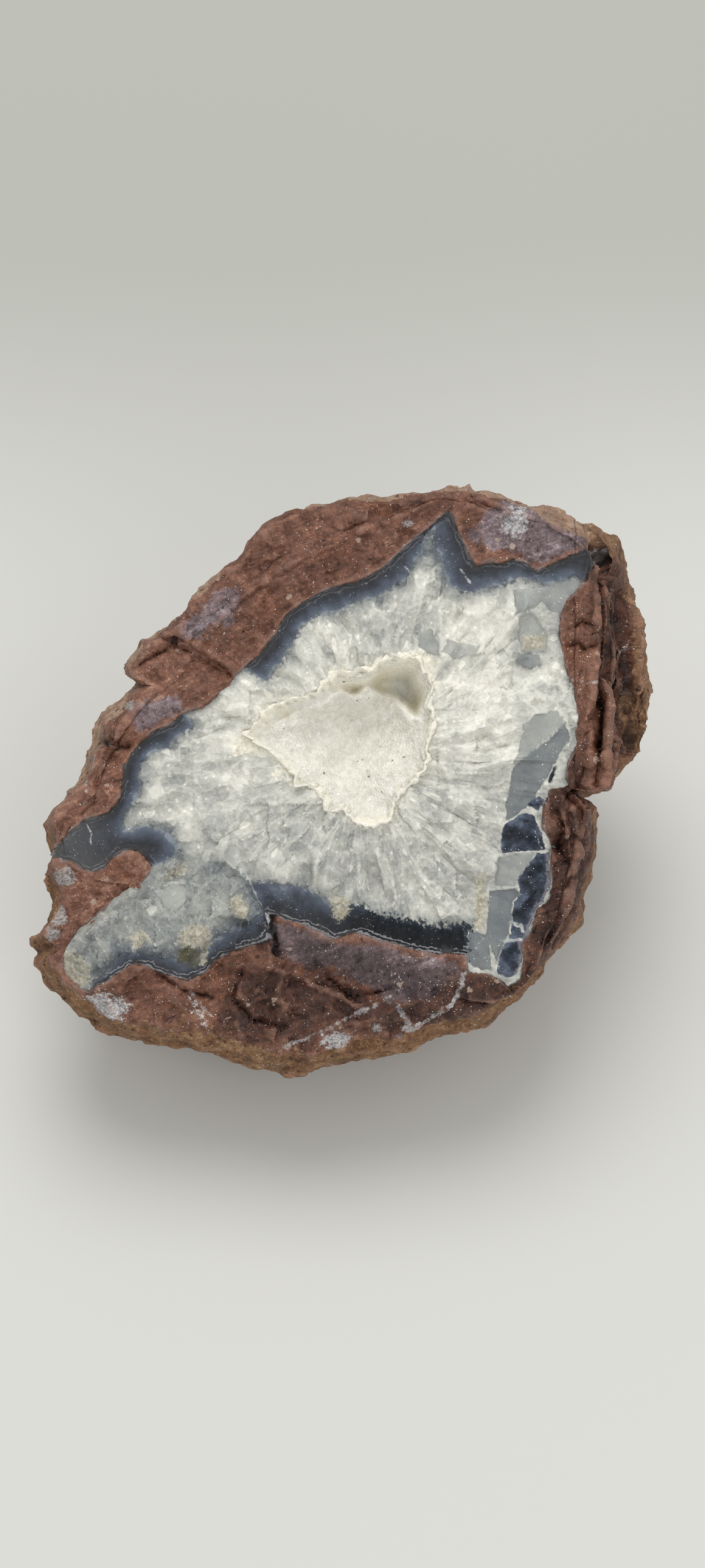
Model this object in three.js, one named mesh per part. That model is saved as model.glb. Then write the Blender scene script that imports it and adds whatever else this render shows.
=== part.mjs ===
// Agate nodule: a broken volcanic nodule with an agate band, a quartz filling
// and a hollow lined with a crust of small crystals.
// Millimetres, +Z up. The nodule rests on a small flat spot of its round back,
// with its broken face tilted towards -Y.

import * as THREE from 'three';
import { ImprovedNoise } from 'three/addons/math/ImprovedNoise.js';
import { mergeVertices } from 'three/addons/utils/BufferGeometryUtils.js';

// Driving dimensions
const FACE_TILT_DEG = 30;
const FLAT_CUT = 1.9;
const CRUST_GAP = 0.35;
const CRUST_THICKNESS = 1.5;
const WIDEST_COLUMN_DEG = 5;

// Broad relief of the broken face
const DOME = { x: 19, y: 8, width: 8, height: 9, rise: 1.5 };
const LOWER_FALL = 2.0;
const RIGHT_FALL = 1.6;
const UPPER_LIFT = 0.8;
const CHUNK_RISE = 2.9;

// The hollow: a floor that sinks from lower left to upper right, and a deep pocket
const FLOOR_DEPTH = 6.6;
const FLOOR_SINK = 2.2;
const FLOOR_SPAN = 13;
const POCKET = { x: 9.8, y: 16.2, radius: 3.4, depth: 4.5 };

// The broken face is drawn in its own frame: x to the right, y up the face and
// rise out of it. The hollow's middle is the centre of every contour.
const CENTRE = new THREE.Vector2(3.5, 4);
const BODY_MIDDLE = new THREE.Vector3(-1, 2, -18);
const LOWEST_POINT = new THREE.Vector3(1, -2, -60);

// Outline of the whole nodule, anticlockwise from the right
const OUTLINE = [
  [49.7, 4.3], [51.4, 5.4], [52.0, 7.1], [52.8, 9.4],
  [53.1, 11.5], [52.7, 14.0], [53.1, 16.3], [53.1, 18.0],
  [52.5, 21.7], [52.2, 24.5], [51.6, 27.3], [50.6, 30.4], [50.2, 33.4], [49.8, 35.0], [48.4, 37.4],
  [47.5, 39.7], [46.0, 41.7], [44.1, 42.7], [41.0, 44.3], [38.9, 44.8], [36.6, 45.9], [34.1, 46.6],
  [31.4, 47.0], [29.0, 47.3], [27.0, 48.1], [24.0, 49.1], [22.0, 49.1], [21.0, 50.2], [19.4, 49.6],
  [17.4, 50.1], [15.6, 49.3], [13.6, 48.8], [11.6, 49.2], [7.9, 48.3], [5.2, 48.1], [1.5, 48.1],
  [-3.5, 46.8], [-8.5, 46.1], [-11.0, 44.8], [-14.0, 42.8], [-18.1, 37.7], [-21.1, 34.7], [-23.6, 32.7],
  [-26.2, 30.4], [-27.0, 28.4], [-28.7, 27.2], [-32.7, 24.9], [-34.2, 24.7], [-36.2, 21.7], [-37.6, 20.2],
  [-37.4, 18.9], [-35.2, 17.6], [-36.8, 16.1], [-39.7, 13.6], [-42.4, 10.1], [-42.5, 7.1], [-43.3, 5.9],
  [-43.9, 3.2], [-47.0, -1.0], [-50.0, -4.3],
  [-50.8, -6.8], [-49.8, -9.8], [-49.3, -11.8], [-50.7, -14.9],
  [-49.5, -19.5], [-50.3, -23.0], [-52.3, -25.8], [-51.0, -28.0], [-51.8, -30.3], [-49.3, -34.7],
  [-48.0, -35.4], [-45.7, -38.4], [-42.0, -41.5], [-37.9, -42.8], [-34.2, -43.3], [-30.6, -44.6],
  [-25.8, -44.5], [-21.8, -45.9], [-16.4, -47.9], [-11.7, -49.0], [-5.9, -49.5], [-1.8, -48.0],
  [3.5, -46.7], [8.9, -46.4], [13.4, -44.4], [17.5, -42.7], [22.9, -41.4], [26.6, -39.0], [29.7, -36.7],
  [31.0, -35.0], [33.8, -32.3], [34.4, -30.9], [37.2, -27.8], [39.8, -24.0], [41.4, -21.4], [41.0, -20.4],
  [41.1, -18.4], [42.0, -13.6], [43.0, -11.5], [43.4, -7.9], [43.1, -5.8], [43.3, -4.3], [42.3, -3.0],
  [39.1, -0.9], [44.4, -1.3], [46.6, 0.3], [48.5, 3.3],
];

// Rim of the hollow
const HOLLOW_RIM = [
  [13.6, 4.0], [13.1, 5.8], [14.4, 9.1], [14.7, 11.7],
  [13.5, 12.7], [14.7, 16.8], [13.1, 18.6], [12.9, 19.9],
  [11.9, 21.6], [9.6, 20.9], [7.3, 20.9], [5.5, 20.1],
  [3.9, 18.3], [0.9, 18.1], [-0.9, 18.6], [-3.2, 16.3],
  [-4.7, 14.5], [-9.8, 13.7], [-13.4, 11.7], [-13.9, 10.2], [-16.7, 8.1], [-14.7, 5.8], [-11.6, 5.0],
  [-10.1, 4.0], [-9.7, 2.5], [-7.0, 1.8], [-8.3, 0.2],
  [-4.7, 0.1], [-3.5, -1.2], [-1.9, -3.8], [-0.1, -3.3],
  [1.9, -5.5], [4.5, -6.4], [7.8, -5.3], [8.3, -2.0], [10.0, -0.2], [12.3, 1.7],
];

// Inner edge of the agate band, where the quartz starts
const BAND_INNER = [
  [28.5, 4.0], [31.5, 9.0], [33.5, 14.9], [33.0, 19.0],
  [31.5, 22.2], [33.0, 27.0], [36.5, 31.8], [35.8, 33.7],
  [33.5, 33.0], [28.5, 34.0], [23.5, 32.3], [21.2, 31.7], [19.2, 31.8], [17.5, 32.7], [16.2, 37.0],
  [14.8, 41.0], [12.8, 39.0], [11.2, 36.0], [9.8, 33.7],
  [6.8, 31.7], [0.5, 29.2], [-4.5, 27.7], [-6.8, 26.3],
  [-8.2, 23.7], [-12.8, 17.2], [-16.5, 15.0], [-21.5, 11.5], [-24.8, 9.7], [-28.8, 6.3], [-31.8, 5.3],
  [-33.2, 3.3], [-33.5, -1.7], [-36.5, -5.7],
  [-29.2, -7.7], [-27.2, -10.7], [-19.0, -12.0], [-11.5, -16.2],
  [-8.8, -16.5], [-4.5, -18.0], [0.2, -20.0], [3.5, -20.2], [8.5, -22.0], [15.2, -23.3], [21.2, -23.0],
  [23.8, -24.7], [24.2, -19.7], [25.2, -14.0], [24.8, -11.3], [26.2, -6.7], [27.5, 0.0],
];

// Outer edge of the agate band, where the host rock starts
const BAND_OUTER = [
  [36.8, 4.0], [38.2, 10.1], [38.1, 16.0], [36.5, 20.8], [35.5, 24.8], [36.8, 30.0], [40.2, 33.7],
  [38.2, 38.3], [35.8, 37.3], [31.8, 35.8], [27.8, 37.3], [26.2, 36.5], [21.8, 36.2], [19.8, 39.7],
  [17.2, 45.3], [15.2, 43.3], [11.8, 40.7], [8.8, 38.0],
  [6.5, 35.8], [3.5, 34.0], [-1.5, 32.7], [-6.5, 30.3],
  [-9.8, 27.8], [-12.8, 23.0], [-16.5, 19.3], [-18.8, 16.3], [-23.2, 13.0], [-28.5, 10.0], [-33.2, 7.5],
  [-36.2, 3.0], [-36.8, -1.7], [-38.5, -4.0],
  [-43.2, -6.0], [-44.6, -9.4], [-38.0, -12.6], [-31.5, -12.6],
  [-20.6, -13.6], [-13.0, -20.2], [-9.8, -22.2], [-6.5, -23.0], [-1.5, -25.5], [2.5, -24.5], [8.5, -26.3],
  [15.2, -27.7], [20.2, -28.1], [23.5, -31.7], [27.8, -34.3], [29.2, -31.7], [29.5, -26.3], [31.8, -20.7],
  [34.2, -15.7], [34.2, -10.3], [32.8, -7.0], [33.3, -2.7], [36.0, 0.6],
];

// Line along which the host rock is stepped, with the rise on its inner and its
// outer side. Its one high stretch is the cliff beside the chunk at lower left.
const BREAK_LINE = [
  [38.2, 4.0, 0, 0], [39.6, 10.4, 0, 0], [39.5, 17.1, 0, 0], [38.4, 22.2, 0, 0], [39.6, 31.6, 0, 0],
  [40.6, 37.6, 0, 0], [34.0, 42.0, 0, 0.3],
  [24.0, 44.0, 0, 0.3], [17.2, 47.2, 0, 0], [9.0, 43.4, 0.2, 0.5],
  [-2.5, 38.5, 0.2, 0.6], [-13.0, 33.0, 0.2, 0.8], [-22.0, 24.6, 0, 0.6], [-27.5, 17.0, 0, 0.3],
  [-34.2, 11.4, 0, -0.4], [-38.4, 4.4, 0, -0.3], [-41.0, -3.4, 0, -0.3], [-46.6, -9.6, 0, 0],
  [-41.0, -15.6, 0, 0], [-33.0, -16.2, 0, 0.4], [-24.0, -15.6, 0, 0.6], [-16.8, -15.6, 0, 0.9],
  [-15.2, -18.6, 0, 2.2], [-13.2, -22.7, 0, 3.0], [-12.2, -25.1, 0, 3.2], [-11.7, -27.2, 0, 2.8],
  [-10.4, -28.0, 0, 0.3], [-4.0, -33.0, 0, 0],
  [6.0, -33.6, 0, 0], [16.0, -34.2, 0, 0], [25.0, -35.6, 0, 0],
  [30.4, -32.6, 0, 0], [33.0, -26.0, 0, 0.3],
  [36.2, -17.6, 0, 0.5], [37.0, -9.6, 0, 0.5], [35.4, -3.6, 0, 0],
  [37.2, 0.2, 0, 0],
];

// Outline of the raised quartz chunk at lower left
const CHUNK = [
  [-16.8, -14.0], [-15.2, -18.0], [-13.2, -22.3], [-11.7, -27.0], [-14.8, -26.0], [-18.2, -27.3],
  [-21.2, -29.0], [-23.2, -31.3], [-25.8, -32.2], [-29.8, -31.0], [-35.2, -29.7], [-42.5, -34.2],
  [-46.4, -30.0], [-43.5, -23.7], [-36.5, -18.0], [-31.5, -14.0],
];

// Sections through the rim: a bearing, then six points from the edge of the face
// out to the outline, each as [distance in from the outline, drop below the face]
const RIM_SECTIONS = [
  [0, [[5.4, 0.6], [4.9, 6.5], [2.4, 8.5], [1.9, 14.0], [0.7, 16.0], [0, 20.0]]],
  [5, [[7.0, 0.6], [6.5, 7.0], [4.6, 9.0], [4.0, 17.5], [1.7, 17.0], [0, 23.0]]],
  [11, [[8.9, 0.8], [8.4, 7.0], [6.0, 9.0], [5.3, 18.5], [1.7, 16.0], [0, 24.0]]],
  [15, [[9.4, 0.6], [8.9, 6.2], [5.8, 8.6], [5.0, 14.0], [2.0, 14.5], [0, 23.0]]],
  [21, [[10.4, 0.5], [9.9, 5.8], [5.6, 8.2], [4.8, 13.0], [2.0, 14.5], [0, 22.0]]],
  [30, [[8.8, 0.5], [8.2, 6.2], [5.2, 8.2], [4.5, 12.5], [1.8, 14.5], [0, 21.0]]],
  [36, [[6.6, 0.9], [6.1, 4.8], [4.6, 7.0], [3.4, 9.0], [1.6, 12.0], [0, 18.0]]],
  [41, [[6.4, 0.9], [5.7, 5.0], [4.3, 7.2], [2.8, 6.0], [1.3, 8.0], [0, 14.0]]],
  [46, [[3.8, 0.6], [2.9, 2.0], [2.0, 3.8], [1.2, 6.0], [0.5, 8.0], [0, 11.0]]],
  [62, [[2.6, 0.4], [1.9, 1.2], [1.2, 2.4], [0.7, 3.8], [0.3, 5.6], [0, 8.0]]],
  [90, [[2.0, 0.3], [1.4, 0.9], [0.9, 1.8], [0.5, 3.0], [0.2, 4.4], [0, 6.0]]],
  [128, [[1.8, 0.2], [1.3, 0.7], [0.8, 1.5], [0.45, 2.6], [0.2, 4.0], [0, 6.0]]],
  [146, [[2.4, 0.3], [1.8, 1.0], [1.2, 2.0], [0.7, 3.4], [0.3, 5.0], [0, 7.0]]],
  [158, [[3.0, 0.5], [2.3, 1.4], [1.6, 2.7], [1.0, 4.4], [0.4, 6.4], [0, 9.0]]],
  [172, [[5.0, 0.8], [4.0, 1.8], [2.8, 3.4], [1.8, 5.4], [0.8, 7.8], [0, 11.0]]],
  [186, [[3.6, 0.6], [2.8, 1.5], [2.0, 2.8], [1.2, 4.6], [0.5, 6.8], [0, 9.5]]],
  [200, [[2.8, 0.5], [2.2, 1.3], [1.5, 2.5], [0.9, 4.2], [0.4, 6.4], [0, 9.0]]],
  [222, [[4.4, 0.8], [3.4, 1.9], [2.4, 3.4], [1.5, 5.4], [0.7, 7.8], [0, 11.0]]],
  [245, [[5.0, 1.0], [3.9, 2.2], [2.8, 3.8], [1.8, 5.8], [0.8, 8.4], [0, 12.0]]],
  [270, [[5.0, 1.0], [3.9, 2.2], [2.8, 3.8], [1.8, 5.8], [0.8, 8.4], [0, 12.0]]],
  [300, [[3.4, 0.7], [2.6, 1.8], [1.8, 3.4], [1.1, 5.4], [0.5, 8.0], [0, 11.5]]],
  [330, [[3.6, 0.6], [2.8, 1.8], [2.0, 3.4], [1.2, 5.6], [0.5, 8.2], [0, 12.0]]],
  [347, [[3.4, 0.6], [2.7, 2.4], [1.9, 4.4], [1.2, 7.0], [0.5, 10.0], [0, 14.0]]],
  [352, [[2.8, 0.6], [2.2, 3.0], [1.6, 5.5], [1.0, 8.5], [0.5, 11.5], [0, 15.0]]],
  [356, [[4.6, 0.6], [4.1, 5.5], [2.0, 8.0], [1.6, 12.0], [0.6, 14.5], [0, 18.0]]],
];

// Rows of points from the hollow's middle to its rim, as fractions of the way out,
// with the share of the depth that is left there
const HOLLOW_ROWS = [[0.3, 1], [0.55, 1], [0.74, 1], [0.88, 1], [0.95, 0.5], [1, 0]];
const QUARTZ_ROWS = [0.28, 0.54, 0.78];
const ROCK_ROWS = [0.3, 0.65];

// Half the width of the step along the break line, and the most that the rim may
// take of the rock beside the band
const BREAK_HALF_WIDTH = 0.25;
const RIM_SHARE = 0.7;

// Rows of the crust: fractions of the way out with the share of the depth, then the
// lip, as [distance in from its edge, rise]
const CRUST_TOP_ROWS = [[0.16, 1], [0.32, 1], [0.48, 1], [0.64, 1], [0.78, 0.92], [0.88, 0.4]];
const CRUST_LIP_ROWS = [[0.8, 0.3], [0.45, 0.5], [0, 0.15]];
const BACK_ROW_COUNT = 11;

// Fullness of the round back: how far each column runs straight in from the outline,
// and how far it runs level out from the lowest point, as shares of the whole way
const SIDE_FULLNESS = 0.6;
const BASE_FULLNESS = 0.46;

// The radial crack at upper left: the rock on its upper side stands higher
const CRACK_BEARINGS = [147.2, 148.4];
const CRACK_RISES = [0.9, -0.8];

const { clamp, degToRad, lerp, radToDeg, smoothstep } = THREE.MathUtils;
const UP = new THREE.Vector3(0, Math.sin(degToRad(FACE_TILT_DEG)), Math.cos(degToRad(FACE_TILT_DEG)));
const perlin = new ImprovedNoise();

function ripple(x, y, z, size) {
  return perlin.noise(x / size + 7.3, y / size + 2.9, z / size + 4.1);
}

function bearingOf(x, y) {
  const bearing = radToDeg(Math.atan2(y - CENTRE.y, x - CENTRE.x));
  return (bearing + 360) % 360;
}

// A closed curve that is met once on every bearing. Each point after its x and y
// may carry further values, which are blended along the curve with the reach.
function contour(points) {
  const stops = points.map(([x, y, ...extra]) => ({
    bearing: bearingOf(x, y),
    values: [Math.hypot(x - CENTRE.x, y - CENTRE.y), ...extra],
  }));
  return blendAround(stops);
}

function blendAround(stops) {
  const sorted = [...stops].sort((a, b) => a.bearing - b.bearing);
  return (bearing) => {
    const wrapped = ((bearing % 360) + 360) % 360;
    const found = sorted.findIndex((stop) => stop.bearing > wrapped);
    const after = found < 0 ? sorted[0] : sorted[found];
    const before = found <= 0 ? sorted[sorted.length - 1] : sorted[found - 1];
    const span = (after.bearing - before.bearing + 360) % 360;
    const share = ((wrapped - before.bearing + 360) % 360) / span;
    return before.values.map((value, k) => lerp(value, after.values[k], share));
  };
}

const outline = contour(OUTLINE);
const hollowRim = contour(HOLLOW_RIM);
const bandInner = contour(BAND_INNER);
const bandOuter = contour(BAND_OUTER);
const breakLine = contour(BREAK_LINE);
const rimSection = blendAround(RIM_SECTIONS.map(([bearing, steps]) => ({ bearing, values: steps.flat() })));

// One column of points on each of the outline's own bearings, more where those are
// far apart, and an even number in all
function columnBearings() {
  const own = [...OUTLINE.map(([x, y]) => bearingOf(x, y)), ...CRACK_BEARINGS].sort((a, b) => a - b);
  const columns = [];
  own.forEach((bearing, i) => {
    const next = i + 1 < own.length ? own[i + 1] : own[0] + 360;
    const parts = Math.ceil((next - bearing) / WIDEST_COLUMN_DEG);
    for (let k = 0; k < parts; k++) {
      columns.push(lerp(bearing, next, k / parts));
    }
  });
  if (columns.length % 2) {
    columns.push((columns[columns.length - 1] + 360 + columns[0]) / 2);
  }
  return columns;
}

const COLUMNS = columnBearings();

function onBearing(bearing, reach, rise) {
  const angle = degToRad(bearing);
  return new THREE.Vector3(CENTRE.x + reach * Math.cos(angle), CENTRE.y + reach * Math.sin(angle), rise);
}

// Signed distance to a closed polygon, positive inside
function depthInside(polygon, x, y) {
  let inside = false;
  let nearest = Infinity;
  polygon.forEach(([x1, y1], i) => {
    const [x0, y0] = polygon[(i + polygon.length - 1) % polygon.length];
    const along = ((x - x0) * (x1 - x0) + (y - y0) * (y1 - y0)) / ((x1 - x0) ** 2 + (y1 - y0) ** 2);
    const t = clamp(along, 0, 1);
    nearest = Math.min(nearest, Math.hypot(x - lerp(x0, x1, t), y - lerp(y0, y1, t)));
    if (y0 > y !== y1 > y && x < x0 + ((y - y0) * (x1 - x0)) / (y1 - y0)) {
      inside = !inside;
    }
  });
  return inside ? nearest : -nearest;
}

// Broad shape of the broken face: a dome of quartz right of the hollow and a fall
// towards the lower and the lower right edge
function groundRise(x, y) {
  const away = Math.hypot((x - DOME.x) / DOME.width, (y - DOME.y) / DOME.height);
  const dome = DOME.rise * Math.exp(-away * away);
  const lowerFall = LOWER_FALL * smoothstep(-y, 5, 21);
  const rightFall = RIGHT_FALL * smoothstep(x, 23, 31) * smoothstep(-y, -4, 3);
  const upperLift = UPPER_LIFT * smoothstep(y, 18, 34);
  return dome + upperLift - lowerFall - rightFall;
}

function chunkRise(x, y) {
  return CHUNK_RISE * smoothstep(depthInside(CHUNK, x, y), 0.1, 1.6) * smoothstep(-y, 12.5, 19);
}

function crackRise(bearing) {
  const [upper, lower] = CRACK_BEARINGS;
  const above = CRACK_RISES[0] * smoothstep(bearing, 112, upper - 12);
  const below = CRACK_RISES[1] * (1 - smoothstep(bearing, lower + 8, lower + 26));
  return bearing <= upper + 0.01 ? above : below * (bearing >= lower - 0.01 ? 1 : 0);
}

function pocketDepth(x, y) {
  const away = Math.hypot(x - POCKET.x, y - POCKET.y) / POCKET.radius;
  return POCKET.depth * Math.exp(-away * away);
}

// Depth of the crust's floor below the face
function floorDepth(x, y) {
  const across = ((x - CENTRE.x) * 0.42 + (y - CENTRE.y) * 0.91) / FLOOR_SPAN;
  return FLOOR_DEPTH + FLOOR_SINK * clamp(across, -1, 1) + pocketDepth(x, y);
}

// Point of the hollow on a bearing, a fraction of the way out to the rim
function hollowPoint(bearing, fraction, depthShare) {
  const point = onBearing(bearing, fraction * hollowRim(bearing)[0], 0);
  const depth = floorDepth(point.x, point.y) + CRUST_THICKNESS + CRUST_GAP;
  point.z = groundRise(point.x, point.y) * (1 - depthShare) - depth * depthShare;
  return point;
}

// The hollow follows every second column, and runs straight between them
function hollowRow(fraction, depthShare) {
  const count = COLUMNS.length;
  return COLUMNS.map((bearing, i) => {
    if (i % 2 === 0) {
      return hollowPoint(bearing, fraction, depthShare);
    }
    const before = hollowPoint(COLUMNS[i - 1], fraction, depthShare);
    const after = hollowPoint(COLUMNS[(i + 1) % count], fraction, depthShare);
    return before.add(after).multiplyScalar(0.5);
  });
}

// Facets of broken quartz
function facetRise(x, y) {
  return 2.4 * ripple(x, y, 0, 2.3) + 1.4 * ripple(x, y, 5, 5.1);
}

function rockRise(x, y) {
  return 1.6 * ripple(x, y, 9, 7.5) + 1.3 * ripple(x, y, 3, 2.9);
}

// The column's points on the face, from the quartz beside the hollow to the rock
// beside the rim
function facePoints(bearing, rimPoint, edgeReach) {
  const inner = bandInner(bearing)[0];
  const outer = bandOuter(bearing)[0];
  const [breakReach, lowRise, highRise] = breakLine(bearing);
  const rimReach = Math.hypot(rimPoint.x - CENTRE.x, rimPoint.y - CENTRE.y);
  const crack = crackRise(bearing);
  const place = (reach, rise) => {
    const point = onBearing(bearing, reach, 0);
    point.z = groundRise(point.x, point.y) + rise(point.x, point.y);
    return point;
  };
  const quartz = (share) => place(
    lerp(rimReach, inner, share),
    (x, y) => (0.3 + share) * facetRise(x, y),
  );
  const rock = (share) => place(
    lerp(breakReach, edgeReach, share),
    (x, y) => chunkRise(x, y) + rockRise(x, y) + crack,
  );
  return [
    ...QUARTZ_ROWS.map(quartz),
    place(inner, () => -0.2),
    place(outer, () => -0.5),
    place(breakReach - BREAK_HALF_WIDTH, () => lowRise + crack),
    place(breakReach + BREAK_HALF_WIDTH, () => highRise + crack),
    ...ROCK_ROWS.map(rock),
  ];
}

// The column's points over the rim, from the edge of the face to the outline
function rimPoints(bearing, outlineReach, innerReach) {
  const section = rimSection(bearing);
  const room = clamp((RIM_SHARE * (outlineReach - innerReach)) / section[0], 0, 1);
  const ground = onBearing(bearing, outlineReach - section[0] * room, 0);
  const base = groundRise(ground.x, ground.y) + crackRise(bearing);
  const points = [];
  for (let k = 0; k < section.length; k += 2) {
    const inset = section[k] * room;
    const isOutline = k === section.length - 2;
    const point = onBearing(bearing, outlineReach - inset, base - section[k + 1]);
    if (!isOutline) {
      point.z += 0.8 * ripple(point.x, point.y, point.z, 3.4);
    }
    points.push(point);
  }
  return points;
}

// Outline reach on a bearing, evened out over its neighbours
function evenReach(bearing) {
  const offsets = [-24, -18, -12, -6, 0, 6, 12, 18, 24];
  return offsets.reduce((sum, offset) => sum + outline(bearing + offset)[0], 0) / offsets.length;
}

// Lumps and pits of the nodule's skin
function skinRise(point) {
  const lumps = 3.0 * ripple(point.x, point.y, point.z, 15) + 2.0 * ripple(point.x, point.y, point.z, 7);
  const pits = Math.max(0, ripple(point.y, point.z, point.x, 8) - 0.2);
  return lumps - 5.0 * pits;
}

// The round back: each column leaves the outline straight in, curves under the body
// and arrives level at the lowest point
function backPoints(bearing, outlinePoint) {
  const even = evenReach(bearing);
  const side = onBearing(bearing, Math.min(even, outline(bearing)[0] + 0.8), 0);
  side.z = lerp(outlinePoint.z, LOWEST_POINT.z, SIDE_FULLNESS);
  const level = onBearing(bearing, even, outlinePoint.z).sub(LOWEST_POINT).projectOnPlane(UP);
  const base = LOWEST_POINT.clone().addScaledVector(level, BASE_FULLNESS);
  const column = new THREE.CubicBezierCurve3(outlinePoint, side, base, LOWEST_POINT);
  const points = column.getSpacedPoints(BACK_ROW_COUNT).slice(1, -1);
  points.forEach((point, i) => {
    const outward = point.clone().sub(BODY_MIDDLE).normalize();
    point.addScaledVector(outward, skinRise(point) * Math.min(1, (i + 1) / 3));
  });
  return points;
}

// Closed body from rows of points, the first and the last of them a single point
function bodyFromRows(firstPole, rows, lastPole) {
  const columnCount = rows[0].length;
  const geometry = new THREE.SphereGeometry(1, columnCount, rows.length + 1);
  geometry.deleteAttribute('normal');
  geometry.deleteAttribute('uv');
  const allRows = [Array(columnCount).fill(firstPole), ...rows, Array(columnCount).fill(lastPole)];
  allRows.forEach((row, i) => {
    for (let j = 0; j <= columnCount; j++) {
      const point = row[j % columnCount];
      geometry.attributes.position.setXYZ(i * (columnCount + 1) + j, point.x, point.y, point.z);
    }
  });
  return mergeVertices(geometry, 1e-5).rotateX(degToRad(FACE_TILT_DEG));
}

function noduleGeometry() {
  const hollowRows = HOLLOW_ROWS.map(([fraction, depthShare]) => hollowRow(fraction, depthShare));
  const rim = hollowRows[hollowRows.length - 1];
  const outerColumns = COLUMNS.map((bearing, i) => {
    const reach = outline(bearing)[0];
    const overRim = rimPoints(bearing, reach, bandOuter(bearing)[0]);
    const edge = overRim[0];
    const edgeReach = Math.hypot(edge.x - CENTRE.x, edge.y - CENTRE.y);
    const outlinePoint = overRim[overRim.length - 1];
    return [...facePoints(bearing, rim[i], edgeReach), ...overRim, ...backPoints(bearing, outlinePoint)];
  });
  const outerRows = outerColumns[0].map((point, row) => outerColumns.map((column) => column[row]));
  const hollowPole = hollowPoint(0, 0, 1);
  return bodyFromRows(hollowPole, [...hollowRows, ...outerRows], LOWEST_POINT);
}

// Presses everything below a level flat onto it, as the small spot to rest on
function flattenBelow(geometry, level) {
  const position = geometry.attributes.position;
  for (let i = 0; i < position.count; i++) {
    position.setZ(i, Math.max(position.getZ(i), level));
  }
}

// How far in along a bearing the crust starts, to keep its gap to the hollow's wall
// where the rim runs slantwise
function crustInset(bearing) {
  const change = (hollowRim(bearing + 3)[0] - hollowRim(bearing - 3)[0]) / degToRad(6);
  return CRUST_GAP * Math.hypot(1, change / hollowRim(bearing)[0]);
}

// Round lumps on the crust of the hollow
function crustRise(x, y) {
  return 0.5 - 1.5 * Math.abs(ripple(x, y, 1, 4.2)) + 0.5 * ripple(x, y, 6, 2.2);
}

// The crust of crystals: its lumpy upper side, a lip around the rim, and an under
// side that follows the hollow at a small gap
function crustGeometry() {
  const bearings = COLUMNS.filter((bearing, i) => i % 2 === 0);
  const topPoint = (bearing, fraction, depthShare) => {
    const wall = 0.5 * CRUST_THICKNESS * (1 - depthShare);
    const point = onBearing(bearing, fraction * (hollowRim(bearing)[0] - wall), 0);
    const sunk = floorDepth(point.x, point.y) * depthShare;
    point.z = crustRise(point.x, point.y) * depthShare - sunk;
    return point;
  };
  const lipPoint = (bearing, inset, rise) => {
    const point = onBearing(bearing, hollowRim(bearing)[0] - crustInset(bearing) - inset, 0);
    point.z = groundRise(point.x, point.y) + rise;
    return point;
  };
  const underPoint = (bearing, fraction, depthShare) => {
    const point = hollowPoint(bearing, fraction, depthShare);
    const inward = 1 - crustInset(bearing) / (fraction * hollowRim(bearing)[0]);
    point.x = lerp(CENTRE.x, point.x, inward);
    point.y = lerp(CENTRE.y, point.y, inward);
    point.z += CRUST_GAP + 0.1 * pocketDepth(point.x, point.y);
    return point;
  };
  const rowsOf = (list, place) => list.map(([first, second]) => bearings.map((b) => place(b, first, second)));
  const topRows = rowsOf(CRUST_TOP_ROWS, topPoint);
  const lipRows = rowsOf(CRUST_LIP_ROWS, lipPoint);
  const underRows = rowsOf(HOLLOW_ROWS.slice(0, -1).reverse(), underPoint);
  const underPole = hollowPoint(0, 0, 1);
  underPole.z += CRUST_GAP;
  return bodyFromRows(topPoint(0, 0, 1), [...topRows, ...lipRows, ...underRows], underPole);
}

const nodule = new THREE.Mesh(
  noduleGeometry(),
  new THREE.MeshStandardMaterial({ color: 0x82493f, roughness: 0.85, metalness: 0, flatShading: true }),
);
nodule.name = 'nodule';

const crust = new THREE.Mesh(
  crustGeometry(),
  new THREE.MeshStandardMaterial({ color: 0xdfdbd0, roughness: 0.5, metalness: 0, flatShading: true }),
);
crust.name = 'druse_crust';

nodule.geometry.computeBoundingBox();
const restLevel = nodule.geometry.boundingBox.min.z + FLAT_CUT;
flattenBelow(nodule.geometry, restLevel);
nodule.geometry.computeBoundingBox();

// The origin is on the surface that the nodule rests on, under its middle
const agateNodule = new THREE.Group();
agateNodule.add(nodule, crust);
const middle = nodule.geometry.boundingBox.getCenter(new THREE.Vector3());
agateNodule.position.set(-middle.x, -middle.y, -restLevel);

export default agateNodule;
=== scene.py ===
import itertools
import math

import bmesh
import bpy
import numpy as np
from mathutils import Matrix, Vector


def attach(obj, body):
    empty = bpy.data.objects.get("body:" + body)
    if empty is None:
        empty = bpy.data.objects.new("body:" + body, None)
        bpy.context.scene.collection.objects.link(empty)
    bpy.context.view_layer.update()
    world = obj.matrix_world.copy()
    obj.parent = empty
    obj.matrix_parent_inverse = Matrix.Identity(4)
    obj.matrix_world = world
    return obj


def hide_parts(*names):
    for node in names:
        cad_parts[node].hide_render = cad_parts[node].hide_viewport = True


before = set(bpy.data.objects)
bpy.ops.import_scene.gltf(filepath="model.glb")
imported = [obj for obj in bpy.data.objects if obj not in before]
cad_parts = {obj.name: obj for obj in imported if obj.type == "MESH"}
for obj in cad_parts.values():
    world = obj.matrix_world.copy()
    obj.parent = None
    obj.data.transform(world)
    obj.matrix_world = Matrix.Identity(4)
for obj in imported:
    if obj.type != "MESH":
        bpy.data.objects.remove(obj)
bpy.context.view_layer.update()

# The broken face has its own frame, in millimetres: x to the right, y up the
# face and a third axis out of it. The face is tilted back from upright.
FACE_TILT = math.radians(30)
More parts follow.
